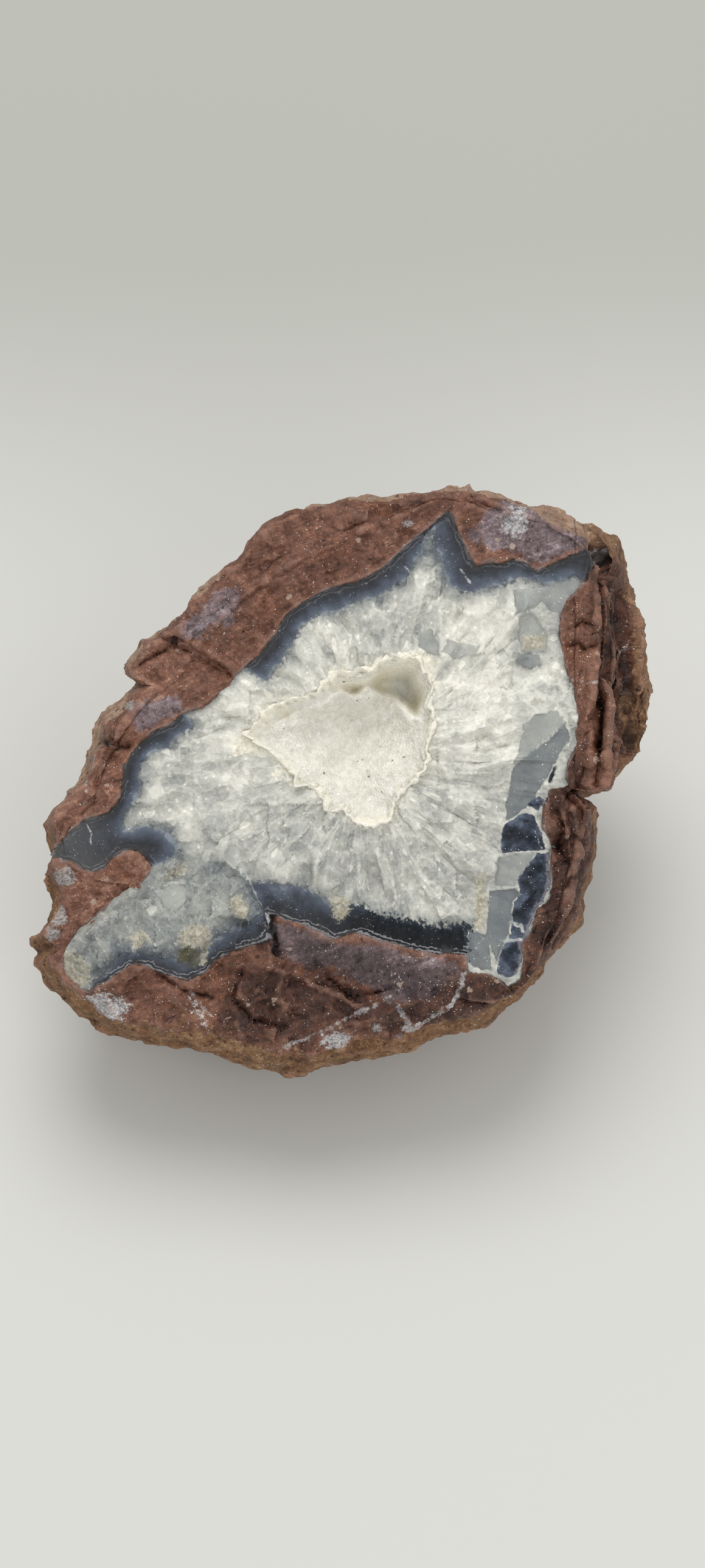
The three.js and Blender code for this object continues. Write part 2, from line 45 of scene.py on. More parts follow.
FACE_ORIGIN = np.array([-0.400, -7.219, 53.278])
FACE_AXES = np.array([
    [1, 0, 0],
    [0, math.cos(FACE_TILT), math.sin(FACE_TILT)],
    [0, -math.sin(FACE_TILT), math.cos(FACE_TILT)],
])
MM = 0.001

# Places on the face are drawn in the picture's pixels, ten to a millimetre
PX_PER_MM = 10
PX_ORIGIN = np.array([565, 1290])
PX_MIDDLE = np.array([579.5, 1288])
PX_HEIGHT = 2576
CAMERA_DISTANCE = 600
SENSOR = 36

# Middle of the hollow: the crystals of the quartz stand away from it
HEART = (600, 1250)

# Outer edge of the filling, where it meets the host rock
FILLING = [
    (737, 837), (717, 857), (683, 883), (653, 910), (630, 932), (600, 950), (577, 957), (550, 963), (520, 977),
    (500, 987), (467, 1012), (452, 1038), (437, 1060), (417, 1083), (400, 1097), (383, 1113), (377, 1127),
    (350, 1145), (333, 1160), (310, 1167), (293, 1177), (280, 1190), (253, 1200), (233, 1215), (217, 1233),
    (203, 1260), (200, 1285), (197, 1307), (180, 1330), (157, 1340), (133, 1350), (117, 1365), (100, 1377),
    (90, 1393), (76, 1405), (96, 1412), (117, 1417), (133, 1428), (150, 1433), (167, 1427), (187, 1407),
    (200, 1398), (220, 1398), (233, 1403), (245, 1417), (250, 1430), (230, 1450), (200, 1470), (173, 1490),
    (150, 1510), (130, 1527), (113, 1550), (103, 1570), (100, 1590), (103, 1605), (123, 1620), (140, 1632),
    (172, 1614), (213, 1587), (240, 1587), (267, 1600), (287, 1607), (307, 1612), (333, 1603), (353, 1580),
    (383, 1563), (417, 1550), (442, 1543), (440, 1500), (467, 1512), (500, 1520), (527, 1533), (550, 1545),
    (570, 1539), (590, 1535), (610, 1540), (633, 1548), (650, 1553), (683, 1563), (717, 1567), (750, 1568),
    (767, 1571), (768, 1585), (768, 1594), (780, 1599), (800, 1602), (820, 1608), (838, 1622), (855, 1607),
    (860, 1590), (860, 1553), (877, 1523), (883, 1497), (903, 1477), (908, 1447), (905, 1413), (907, 1393),
    (893, 1360), (895, 1333), (898, 1317), (905, 1295), (933, 1290), (930, 1280), (933, 1253), (948, 1227),
    (947, 1193), (948, 1160), (943, 1127), (930, 1093), (923, 1060), (920, 1037), (923, 1007), (933, 987),
    (953, 967), (967, 953), (974, 930), (970, 905), (963, 900), (947, 907), (923, 917), (903, 927), (883, 937),
    (867, 927), (843, 917), (827, 925), (803, 922), (783, 928), (773, 917), (763, 893), (753, 873), (743, 843),
]

# Edge between the agate band and the quartz inside it
QUARTZ = [
    (717, 863), (697, 883), (693, 900), (677, 930), (663, 953), (633, 973), (600, 985), (570, 998), (550, 1005),
    (520, 1013), (497, 1027), (483, 1053), (473, 1073), (457, 1093), (437, 1118), (417, 1108), (402, 1097),
    (380, 1108), (366, 1120), (350, 1136), (325, 1152), (300, 1168), (317, 1193), (290, 1210), (277, 1227),
    (247, 1237), (233, 1257), (227, 1277), (234, 1289), (230, 1307), (213, 1327), (200, 1347), (205, 1363),
    (227, 1357), (250, 1358), (273, 1367), (290, 1380), (293, 1397), (283, 1407), (267, 1417), (246, 1424),
    (230, 1440), (200, 1460), (173, 1480), (150, 1500), (130, 1517), (108, 1540), (98, 1560), (92, 1590),
    (97, 1610), (123, 1628), (140, 1638), (160, 1612), (200, 1568), (233, 1566), (267, 1572), (300, 1580),
    (330, 1570), (350, 1545), (383, 1527), (417, 1515), (432, 1503), (420, 1480), (408, 1452), (425, 1449),
    (450, 1452), (477, 1455), (500, 1460), (520, 1470), (540, 1483), (567, 1490), (587, 1487), (600, 1492),
    (620, 1503), (650, 1510), (683, 1517), (717, 1523), (750, 1522), (777, 1520), (778, 1527), (768, 1537),
    (768, 1575), (762, 1608), (780, 1610), (800, 1614), (827, 1624), (843, 1640), (862, 1612), (868, 1590),
    (870, 1553), (885, 1526), (890, 1500), (912, 1480), (916, 1447), (914, 1413), (914, 1390), (901, 1358),
    (903, 1330), (907, 1300), (940, 1296), (938, 1280), (941, 1256), (956, 1230), (955, 1193), (956, 1160),
    (951, 1125), (938, 1090), (931, 1058), (928, 1037), (931, 1011), (939, 993), (955, 975), (965, 956),
    (955, 953), (943, 948), (923, 953), (900, 960), (877, 952), (850, 950), (827, 960), (800, 967), (777, 973),
    (757, 972), (740, 963), (733, 947), (727, 920), (717, 903), (713, 880),
]

# Rim of the hollow
RIM = [
    (380, 1224), (398, 1210), (426, 1188), (430, 1175), (470, 1152), (518, 1140), (533, 1127), (550, 1105),
    (556, 1101), (574, 1109), (600, 1107), (620, 1085), (640, 1080), (665, 1080), (680, 1073), (708, 1085),
    (697, 1120), (712, 1122), (690, 1165), (712, 1173), (709, 1199), (700, 1240), (701, 1255), (690, 1270),
    (665, 1290), (648, 1305), (645, 1335), (640, 1345), (610, 1354), (585, 1347), (575, 1335), (562, 1322),
    (548, 1330), (532, 1312), (522, 1297), (515, 1288), (483, 1287), (480, 1280), (500, 1270), (485, 1263),
    (455, 1275), (455, 1265), (463, 1250), (448, 1240), (420, 1238), (400, 1238),
]

# The raised part of the hollow's floor: its upper edge shows as mounds
FLOOR = [
    (400, 1262), (425, 1205), (456, 1178), (500, 1155), (533, 1139), (560, 1128), (584, 1134), (607, 1120),
    (630, 1133), (647, 1132), (663, 1145), (684, 1170), (740, 1160), (740, 1300), (640, 1390), (500, 1340),
]

# Smooth grey pieces in the quartz, most of them at its right, each with its brightness
SHARDS = [
    (0.30, [(843, 970), (913, 962), (943, 948), (962, 965), (930, 987), (925, 1010), (905, 1003), (890, 990),
            (875, 1000), (850, 1012)]),
    (0.42, [(850, 1014), (873, 1003), (888, 1025), (900, 1043), (898, 1072), (857, 1072), (852, 1040)]),
    (0.28, [(853, 1075), (885, 1074), (890, 1092), (868, 1098), (852, 1090)]),
    (0.36, [(690, 1040), (708, 1032), (722, 1058), (724, 1082), (700, 1070), (688, 1062)]),
    (0.44, [(737, 1052), (790, 1062), (783, 1078), (745, 1082), (728, 1070)]),
    (0.36, [(880, 1175), (917, 1168), (933, 1187), (857, 1250), (843, 1257), (858, 1213), (860, 1190)]),
    (0.08, [(843, 1260), (932, 1190), (937, 1213), (913, 1253), (897, 1280), (880, 1310), (867, 1327),
            (828, 1352), (837, 1297)]),
    (0.34, [(819, 1409), (884, 1401), (853, 1446), (847, 1458), (812, 1455)]),
    (0.07, [(806, 1464), (847, 1460), (856, 1467), (844, 1482), (843, 1517), (838, 1534), (825, 1561),
            (817, 1584), (809, 1556), (800, 1539)]),
    (0.05, [(773, 1530), (800, 1536), (806, 1561), (812, 1599), (781, 1592), (768, 1575)]),
    (0.44, [(250, 1465), (285, 1452), (303, 1456), (306, 1480), (290, 1495), (272, 1492), (262, 1478)]),
    (0.55, [(367, 1400), (380, 1386), (394, 1392), (398, 1415), (385, 1428), (370, 1415)]),
    (0.50, [(335, 1388), (345, 1378), (360, 1385), (352, 1396), (340, 1396)]),
]

# Dark agate seen through the quartz at the lower right
WINDOWS = [
    [(875, 1311), (890, 1308), (899, 1318), (886, 1333), (867, 1323)],
    [(828, 1355), (847, 1343), (862, 1334), (878, 1338), (882, 1350), (893, 1372), (898, 1396), (884, 1398),
     (822, 1403)],
    [(884, 1401), (903, 1400), (906, 1425), (906, 1460), (890, 1488), (878, 1508), (872, 1535), (862, 1555),
     (858, 1580), (852, 1600), (838, 1610), (817, 1600), (826, 1562), (842, 1532), (845, 1482), (857, 1467),
     (850, 1450)],
    [(900, 1284), (905, 1268), (916, 1256), (913, 1270), (905, 1288)],
]

# Bright edges where the quartz broke, each with its half width in millimetres
FLAKES = [
    (0.0, [(838, 1262), (831, 1300), (826, 1350), (822, 1402)]),
    (0.0, [(828, 1354), (847, 1342), (862, 1333), (884, 1336)]),
    (0.05, [(822, 1404), (850, 1402), (884, 1399), (903, 1398)]),
    (0.0, [(884, 1400), (868, 1422), (853, 1446), (848, 1459)]),
    (0.0, [(808, 1458), (830, 1461), (848, 1459), (858, 1470), (844, 1482), (843, 1517)]),
    (0.25, [(841, 1518), (861, 1523), (860, 1531)]),
    (0.2, [(830, 1547), (858, 1545)]),
    (0.0, [(815, 1604), (822, 1575), (840, 1532), (843, 1517)]),
    (0.05, [(880, 1340), (884, 1355), (880, 1367), (890, 1392)]),
    (0.4, [(388, 1408), (398, 1430), (414, 1466), (438, 1512)]),
    (0.05, [(728, 1253), (771, 1237), (823, 1211), (855, 1180), (897, 1158), (938, 1135)]),
    (0.0, [(800, 1175), (850, 1140), (905, 1120)]),
    (0.0, [(708, 1030), (722, 1056), (726, 1086)]),
    (0.1, [(757, 935), (765, 945), (772, 957)]),
    (0.1, [(666, 931), (672, 940), (678, 953)]),
    (0.05, [(140, 1352), (150, 1368), (148, 1388)]),
    (0.2, [(405, 1240), (425, 1256), (420, 1232), (440, 1242)]),
    (0.15, [(470, 1300), (500, 1318), (540, 1340), (560, 1350)]),
]

# Purple-grey patches of altered rock
PURPLE = [
    [(390, 970), (393, 1000), (380, 1003), (380, 1020), (350, 1030), (333, 1047), (290, 1050), (305, 1030),
     (330, 1000), (357, 975), (375, 968)],
    [(217, 1170), (240, 1152), (290, 1150), (300, 1165), (275, 1180), (250, 1195), (225, 1197)],
    [(795, 850), (830, 826), (900, 838), (960, 870), (975, 895), (940, 905), (880, 925), (845, 905), (800, 900),
     (770, 880)],
    [(440, 1515), (500, 1530), (560, 1552), (640, 1560), (700, 1575), (765, 1580), (755, 1600), (700, 1640),
     (650, 1640), (600, 1615), (560, 1590), (500, 1585), (450, 1560)],
]

# White crystal patches, cream lumps and the green spot of the chunk
WHITE = [
    [(822, 850), (835, 835), (862, 833), (872, 850), (866, 880), (840, 886), (822, 872)],
    [(527, 1700), (550, 1690), (580, 1698), (575, 1725), (545, 1733), (528, 1722)],
    [(312, 1640), (330, 1660), (340, 1690), (325, 1680), (308, 1655)],
    [(100, 1610), (130, 1642), (165, 1625), (215, 1650), (200, 1690), (150, 1680), (110, 1650)],
]
CREAM = [
    [(293, 1530), (318, 1515), (345, 1522), (348, 1545), (340, 1575), (335, 1592), (325, 1585), (330, 1560),
     (305, 1557), (290, 1548)],
    [(375, 1478), (400, 1470), (412, 1495), (402, 1512), (380, 1500)],
    [(270, 1430), (300, 1420), (315, 1432), (290, 1442), (265, 1448)],
    [(543, 1468), (566, 1472), (578, 1480), (574, 1506), (556, 1513), (545, 1500)],
    [(780, 1440), (800, 1430), (802, 1500), (798, 1532), (780, 1530)],
    [(858, 1042), (898, 1040), (896, 1068), (858, 1068)],
    [(98, 1560), (125, 1560), (150, 1590), (150, 1612), (130, 1630), (100, 1605)],
    [(205, 1540), (235, 1525), (250, 1545), (225, 1560)],
]
GREEN = [[(290, 1560), (310, 1552), (330, 1562), (328, 1585), (305, 1590), (288, 1580)]]

# Quartz that is whiter, right of the hollow and above it, and greyer, below it
BRIGHT = [
    [(440, 1020), (500, 990), (500, 1060), (430, 1150), (420, 1210), (370, 1210), (380, 1120)],
    [(735, 1105), (800, 1095), (860, 1085), (930, 1090), (945, 1160), (930, 1180), (870, 1180), (850, 1230),
     (790, 1260), (720, 1250), (705, 1180)],
    [(720, 1000), (790, 985), (835, 1000), (840, 1060), (790, 1075), (730, 1040)],
]
DULL = [
    [(330, 1345), (430, 1340), (445, 1400), (340, 1415)],
    [(560, 1000), (670, 990), (690, 1050), (600, 1065)],
    [(450, 1300), (470, 1290), (520, 1330), (560, 1370), (640, 1370), (690, 1440), (680, 1520), (480, 1450),
     (430, 1420)],
    [(740, 1420), (820, 1400), (905, 1400), (905, 1470), (860, 1600), (840, 1640), (770, 1600), (730, 1520)],
    [(885, 985), (930, 985), (925, 1090), (945, 1140), (925, 1170), (850, 1160), (830, 1060)],
]

# Chunk at the lower left
CHUNK = [
    (397, 1430), (413, 1470), (433, 1513), (448, 1560), (417, 1552), (383, 1565), (353, 1582), (333, 1604),
    (307, 1613), (267, 1602), (240, 1589), (213, 1589), (140, 1633), (98, 1600), (104, 1560), (130, 1525),
    (200, 1468), (250, 1430), (300, 1405), (350, 1400),
]

# Veins in the host rock, each with its half width in millimetres
VEINS = [
    (0.35, [(400, 1750), (440, 1730), (500, 1710), (550, 1685), (600, 1660), (630, 1650), (650, 1645)]),
    (0.5, [(640, 1640), (655, 1655), (672, 1685), (655, 1700), (675, 1720)]),
    (0.4, [(665, 1700), (700, 1680), (740, 1655), (752, 1640), (765, 1600)]),
    (0.15, [(153, 1240), (145, 1280), (137, 1317)]),
    (0.2, [(310, 1630), (345, 1672)]),
    (0.25, [(1010, 1105), (1030, 1085), (1045, 1060)]),
    (0.25, [(940, 1118), (985, 1122)]),
]

# Ridges and grooves of the rock, each with its rise and width in millimetres
CREASES = [
    (1.0, 1.0, [(981, 985), (983, 1050), (981, 1110), (975, 1190), (968, 1285)]),
    (-1.8, 0.5, [(990, 955), (992, 1050), (990, 1100)]),
    (-2.2, 0.7, [(990, 905), (999, 922), (1003, 940)]),
    (-3.0, 0.7, [(991, 1112), (989, 1160), (984, 1225)]),
    (-1.2, 0.4, [(984, 1225), (980, 1290)]),
    (1.4, 1.1, [(1004, 1030), (1006, 1110), (1000, 1190), (992, 1285)]),
    (-1.4, 0.5, [(1019, 960), (1022, 1050), (1017, 1130), (1012, 1200), (1008, 1270)]),
    (-2.2, 0.8, [(1036, 980), (1034, 1060), (1031, 1130)]),
    (-4.0, 1.5, [(1038, 1150), (1043, 1200), (1034, 1232)]),
    (1.6, 1.0, [(1058, 1000), (1064, 1070), (1062, 1130), (1066, 1190)]),
    (-2.2, 1.0, [(972, 925), (985, 900), (1003, 910), (998, 940)]),
    (-1.2, 0.4, [(938, 1062), (950, 1055), (962, 1066), (978, 1060)]),
    (-1.2, 0.4, [(945, 1030), (955, 1022), (974, 1028)]),
    (-1.0, 0.4, [(1000, 985), (1012, 1010), (1008, 1040)]),
    (-1.4, 0.4, [(283, 1050), (300, 1053), (320, 1073), (347, 1087), (367, 1097), (377, 1110)]),
    (0.8, 1.0, [(296, 1040), (320, 1058), (350, 1074), (375, 1092)]),
    (-1.4, 0.5, [(163, 1217), (185, 1225), (212, 1228)]),
    (-1.2, 0.4, [(218, 1095), (245, 1082), (275, 1066), (288, 1052)]),
    (-2.2, 0.5, [(441, 1500), (452, 1540), (457, 1564)]),
    (-1.0, 0.4, [(395, 1600), (380, 1640), (410, 1680), (470, 1690)]),
    (-1.0, 0.4, [(540, 1610), (580, 1640), (640, 1625)]),
    (0.7, 0.7, [(450, 1590), (530, 1625), (600, 1660)]),
    (-1.3, 0.4, [(915, 1330), (926, 1360), (918, 1395), (930, 1420)]),
    (-1.0, 0.4, [(918, 1395), (945, 1375), (965, 1385)]),
    (0.8, 0.8, [(945, 1330), (955, 1400), (940, 1480), (905, 1560)]),
    (-1.0, 0.4, [(930, 1300), (955, 1330), (968, 1365), (962, 1420), (945, 1500), (915, 1560)]),
    (-1.1, 0.4, [(255, 1600), (300, 1630), (345, 1640)]),
]

# Rock painted darker as painted shade (low down, along the lower right and in the dark holes at the upper right),
# rock that is paler, and the strips of weathered skin along the outline
SHADED_ROCK = [
    [(480, 1530), (600, 1570), (700, 1590), (780, 1590), (890, 1590), (880, 1650), (780, 1680), (640, 1640),
     (500, 1600)],
    [(880, 1215), (965, 1225), (955, 1330), (935, 1420), (920, 1520), (900, 1590), (850, 1620), (870, 1550),
     (885, 1480), (890, 1380), (875, 1290)],
    [(380, 1600), (470, 1590), (600, 1625), (700, 1650), (800, 1620), (850, 1640), (760, 1700), (560, 1690),
     (420, 1720), (350, 1690)],
    [(905, 1310), (990, 1330), (985, 1420), (960, 1510), (880, 1610), (855, 1640), (868, 1560), (890, 1490),
     (912, 1440)],
    [(970, 960), (960, 885), (1010, 890), (1040, 950), (1050, 1050), (1045, 1240), (985, 1240), (990, 1100)],
]
PALE = [
    [(935, 1070), (975, 1070), (980, 1150), (950, 1150)],
    [(60, 1360), (100, 1290), (150, 1230), (200, 1240), (190, 1310), (140, 1345), (100, 1370)],
    [(90, 1430), (170, 1440), (240, 1405), (250, 1430), (150, 1510), (100, 1560), (60, 1500)],
    [(200, 1080), (300, 1040), (370, 1110), (300, 1150), (220, 1150)],
]
SKIN = [
    [(350, 915), (378, 900), (365, 945), (330, 985), (296, 1004), (305, 965)],
    [(430, 822), (468, 790), (560, 774), (660, 766), (710, 770), (660, 789), (560, 794), (484, 810)],
    [(560, 800), (560, 826), (640, 824), (700, 812), (760, 808), (830, 826), (870, 838), (905, 862), (950, 882),
     (985, 888), (1018, 912), (1030, 900), (1030, 850), (900, 790), (700, 780)],
    [(1030, 900), (1042, 930), (1050, 1000), (1056, 1080), (1052, 1150), (1100, 1160), (1100, 950), (1050, 880)],
    [(120, 1270), (150, 1235), (170, 1200), (200, 1175), (215, 1140), (190, 1100), (120, 1180)],
    [(40, 1540), (80, 1600), (120, 1660), (180, 1690), (250, 1708), (330, 1718), (400, 1745), (470, 1752),
     (560, 1738), (640, 1735), (760, 1690), (700, 1760), (500, 1800), (300, 1760), (100, 1700)],
]

# Small round fillings of agate in the rock, each with its radius in millimetres
BLOBS = [(105, 1440, 1.7), (90, 1505, 1.9), (85, 1536, 1.3), (95, 1395, 1.0), (215, 1160, 0.9), (670, 860, 0.8),
         (620, 1690, 0.7), (1000, 905, 1.0)]



def srgb(*screen):
    """Linear colour of an 8-bit screen colour."""
    shares = [c / 255 for c in screen]
    return [c / 12.92 if c < 0.04045 else ((c + 0.055) / 1.055) ** 2.4 for c in shares] + [1]


def on_face(px):
    """Face millimetres of pixel places."""
    return (np.array(px, float) - PX_ORIGIN) * (1, -1) / PX_PER_MM


def to_face(placed):
    """Face millimetres from those of the object's own frame."""
    return (placed - FACE_ORIGIN) @ FACE_AXES.T


def in_place(face):
    """Millimetres of the object's own frame from those of the face."""
    return face @ FACE_AXES + FACE_ORIGIN


def smooth_step(value, low, high):
    share = np.clip((value - low) / (high - low), 0, 1)
    return share * share * (3 - 2 * share)


# Seeded randomness and noise on a lattice
PRIMES = (73856093, 19349663, 83492791)
NOISE_GAIN = 1.6
CHIP_LEVEL = 0.3


def lattice(cells, seed):
    """A random number from 0 to 1 for each row of whole numbers."""
    mixed = np.full(len(cells), seed * 2654435761 + 97, np.uint64)
    for k, prime in zip(range(cells.shape[1]), PRIMES):
        mixed ^= cells[:, k].astype(np.int64).astype(np.uint64) * np.uint64(prime)
        mixed = (mixed ^ (mixed >> np.uint64(15))) * np.uint64(2246822519)
        mixed &= np.uint64(0xFFFFFFFFFFFF)
    mixed = (mixed ^ (mixed >> np.uint64(13))) * np.uint64(3266489917)
    mixed ^= mixed >> np.uint64(16)
    return (mixed & np.uint64(0xFFFFFF)).astype(float) / 0x1000000


def noise(points, size, seed):
    """Gradient noise, about -1 to 1."""
    places = points / size
    base = np.floor(places)
    part = places - base
    fade = part ** 3 * (part * (part * 6 - 15) + 10)
    total = np.zeros(len(points))
    dims = points.shape[1]
    for corner in itertools.product((0, 1), repeat=dims):
        offset = part - corner
        cell = base + corner
        slope = sum((2 * lattice(cell, seed + 7 * k) - 1) * offset[:, k] for k in range(dims))
        total += np.prod(np.where(np.array(corner), fade, 1 - fade), axis=1) * slope
    return NOISE_GAIN * total


def push(points, size, *seeds):
    """Noise of its own along each axis."""
    return np.stack([noise(points, size, seed) for seed in seeds], 1)


def chips(points, size, seed, tilt, bow, rise=0.3):
    """A surface of chips: each cell of a jittered grid carries a tilted bowl, and
    the lowest of them shows. A negative bow gives domes, of which the highest
    shows. Gives the height in millimetres, a random tone from 0 to 1 for each
    chip, and how near a chip's edge is."""
    places = points / size
    base = np.floor(places)
    sign = 1 if bow > 0 else -1
    best, second = np.full(len(points), np.inf), np.full(len(points), np.inf)
    tone = np.zeros(len(points))
    dims = points.shape[1]
    for offset in itertools.product((-1, 0, 1), repeat=dims):
        cell = base + offset
        away = places - cell - np.stack([lattice(cell, seed + k) for k in range(dims)], 1)
        height = rise * (lattice(cell, seed + 11) - 0.5)
        height += sum(tilt * (2 * lattice(cell, seed + 21 + k) - 1) * away[:, k] for k in range(dims))
        height = sign * (height + bow * (away ** 2).sum(1))
        lower = height < best
        second = np.where(lower, best, np.minimum(second, height))
        tone = np.where(lower, lattice(cell, seed + 31), tone)
        best = np.where(lower, height, best)
    return size * (sign * best - CHIP_LEVEL * bow), tone, 1 - smooth_step(second - best, 0, 0.25 * abs(bow))


# Distances on the face, in millimetres

def depth_inside(points, polygon):
    """Distance to the edge of a closed polygon, positive inside."""
    corners = on_face(polygon)
    nearest = np.full(len(points), np.inf)
    inside = np.zeros(len(points), bool)
    x, y = points[:, 0], points[:, 1]
    for (x0, y0), (x1, y1) in zip(corners, np.roll(corners, -1, 0)):
        run = (x1 - x0, y1 - y0)
        along = np.clip(((x - x0) * run[0] + (y - y0) * run[1]) / (run[0] ** 2 + run[1] ** 2), 0, 1)
        nearest = np.minimum(nearest, np.hypot(x - x0 - along * run[0], y - y0 - along * run[1]))
        if y0 != y1:
            inside ^= ((y0 > y) != (y1 > y)) & (x < x0 + (y - y0) * run[0] / run[1])
    return np.where(inside, nearest, -nearest)


def depth_in_any(points, polygons):
    return np.max([depth_inside(points, polygon) for polygon in polygons], axis=0)


def distance_to_line(points, line):
    """Distance to the nearest place of an open line."""
    stops = on_face(line)
    nearest = np.full(len(points), np.inf)
    for start, end in zip(stops, stops[1:]):
        run = end - start
        along = np.clip((points - start) @ run / (run @ run), 0, 1)
        nearest = np.minimum(nearest, np.linalg.norm(points - start - along[:, None] * run, axis=1))
    return nearest


def depth_in_veins(points, veins):
    """Distance inside the nearest vein's edge."""
    return np.max([half_width - distance_to_line(points, line) for half_width, line in veins], axis=0)


def depth_in_blobs(points, blobs):
    """Distance inside the nearest round spot's edge."""
    middles = on_face([(x, y) for x, y, _ in blobs])
    away = np.linalg.norm(points[:, None] - middles, axis=2)
    return (np.array([radius for *_, radius in blobs]) - away).max(1)


def creased(points, creases):
    """Sum of round ridges and sharp grooves along lines, in millimetres."""
    total = np.zeros(len(points))
    for rise, width, line in creases:
        away = distance_to_line(points, line) / width
        total += rise * np.exp(-away if rise < 0 else -away ** 2)
    return total


# Meshes as arrays: rows of points in face millimetres and triangles of row numbers
NO_EDGES = np.zeros((0, 2), int)
WELDS_PER_METRE = 1e7
SHARP_SHADING = math.radians(50)


def welded(node):
    """The points and triangles of a CAD node, with equal points made one."""
    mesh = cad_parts[node].data
    co = np.empty((len(mesh.vertices), 3))
    mesh.vertices.foreach_get("co", co.reshape(-1))
    mesh.calc_loop_triangles()
    tri = np.empty(len(mesh.loop_triangles) * 3, int)
    mesh.loop_triangles.foreach_get("vertices", tri)
    keys = np.round(co * WELDS_PER_METRE).astype(int)
    _, first, number = np.unique(keys, axis=0, return_index=True, return_inverse=True)
    tri = number.reshape(-1)[tri].reshape(-1, 3)
    return to_face(co[first] / MM), tri[(tri != np.roll(tri, 1, 1)).all(1)]


def sides_of(tri):
    """Ends of each triangle's first side, then of the second sides and the third."""
    return np.concatenate([tri[:, [0, 1]], tri[:, [1, 2]], tri[:, [2, 0]]])


def edges_of(tri):
    """Every edge once, and the edge numbers of each triangle's three sides."""
    ends = np.sort(sides_of(tri), axis=1)
    count = tri.max() + 1
    keys, number = np.unique(ends[:, 0] * count + ends[:, 1], return_inverse=True)
    return np.stack([keys // count, keys % count], 1), number.reshape(3, -1).T


def unit(vectors):
    return vectors / np.maximum(np.linalg.norm(vectors, axis=1), 1e-12)[:, None]


def triangle_normals(points, tri):
    a, b, c = (points[tri[:, k], :3] for k in range(3))
    return np.cross(b - a, c - a)


def point_normals(points, tri):
    flat = triangle_normals(points, tri)
    total = np.zeros((len(points), 3))
    for k, axis in itertools.product(range(3), repeat=2):
        total[:, axis] += np.bincount(tri[:, k], flat[:, axis], len(points))
    return unit(total)


def sharp_edges(points, tri, least):
    """Edges, as pairs of row numbers, where the surface turns by more than an angle."""
    edges, sides = edges_of(tri)
    flat = unit(triangle_normals(points, tri))
    owners = (np.argsort(sides.reshape(-1), kind="stable") // 3).reshape(-1, 2)
    turn = (flat[owners[:, 0]] * flat[owners[:, 1]]).sum(1)
    return edges[turn < math.cos(math.radians(least))]


def refine(points, tri, sharp, reach):
    """Splits every edge that is longer than the reach at its ends, longest first.
    Further columns of the points are blended along with the places."""
    edges, sides = edges_of(tri)
    length = np.linalg.norm(points[edges[:, 0], :3] - points[edges[:, 1], :3], axis=1)
    marked = length > np.minimum(reach[edges[:, 0]], reach[edges[:, 1]])
    longest = sides[np.arange(len(tri)), np.argmax(length[sides] + 1e-9 * sides, axis=1)]
    while True:
        wanted = marked.copy()
        wanted[longest[marked[sides].any(1)]] = True
        if (wanted == marked).all():
            break
        marked = wanted
    middle = np.full(len(edges), -1)
    middle[marked] = len(points) + np.arange(marked.sum())
    if len(sharp):
        keys = edges[:, 0] * len(points) + edges[:, 1]
        split = middle[np.searchsorted(keys, sharp[:, 0] * len(points) + sharp[:, 1])]
        cut, mids = sharp[split >= 0], split[split >= 0]
        halves = [np.stack([cut[:, k], mids], 1) for k in (0, 1)]
        sharp = np.sort(np.concatenate([sharp[split < 0], *halves]), axis=1)
    points = np.concatenate([points, (points[edges[marked, 0]] + points[edges[marked, 1]]) / 2])
    turn = np.argmax(sides == longest[:, None], axis=1)
    pick = (turn[:, None] + np.arange(3)) % 3
    rows = np.arange(len(tri))[:, None]
    (a, b, c), (ab, bc, ca) = tri[rows, pick].T, middle[sides[rows, pick]].T
    whole, right, left = ab < 0, bc >= 0, ca >= 0

    def some(which, *corners):
        return np.stack([corner[which] for corner in corners], 1)

    parts = [
        some(whole, a, b, c),
        some(~whole & ~left, a, ab, c), some(~whole & left, a, ab, ca), some(~whole & left, ab, c, ca),
        some(~whole & ~right, ab, b, c), some(~whole & right, ab, b, bc), some(~whole & right, ab, bc, c),
    ]
    return points, np.concatenate(parts), sharp


def neighbours_mean(points, edges):
    total = np.zeros_like(points)
    both = np.concatenate([edges, edges[:, ::-1]])
    count = np.bincount(both[:, 0], minlength=len(points))
    for axis in range(points.shape[1]):
        total[:, axis] = np.bincount(both[:, 0], points[both[:, 1], axis], len(points))
    return total / np.maximum(count, 1)[:, None], count


def relax(points, tri, sharp, amount, rounds=1):
    """Moves points towards their neighbours, and points of sharp edges along those."""
    edges, _ = edges_of(tri)
    for _ in range(rounds):
        goal, _ = neighbours_mean(points, edges)
        if len(sharp):
            along, count = neighbours_mean(points, sharp)
            goal = np.where((count == 2)[:, None], along, goal)
            goal = np.where(((count == 1) | (count > 2))[:, None], points, goal)
        points = points + amount * (goal - points)
    return points


def even_normals(points, tri):
    return unit(relax(point_normals(points, tri), tri, NO_EDGES, 0.5, 3))


def hollowness(points, tri, rounds):
    """How far each point lies below the surface around it, in millimetres."""
    even = relax(points, tri, NO_EDGES, 1.0, rounds)
    return ((even - points) * point_normals(even, tri)).sum(1)


def biggest_patch(tri):
    """The largest patch of triangles that are joined side to side."""
    edges, sides = edges_of(tri)
    label = np.arange(len(tri))
    while True:
        lowest = np.full(len(edges), len(tri))
        np.minimum.at(lowest, sides.reshape(-1), np.repeat(label, 3))
        new = label[lowest[sides].min(1)]
        if (new == label).all():
            break
        label = new
    names, count = np.unique(label, return_counts=True)
    return tri[label == names[np.argmax(count)]]


def linked(name, data):
    """A new object of the scene."""
    made = bpy.data.objects.new(name, data)
    bpy.context.scene.collection.objects.link(made)
    return made


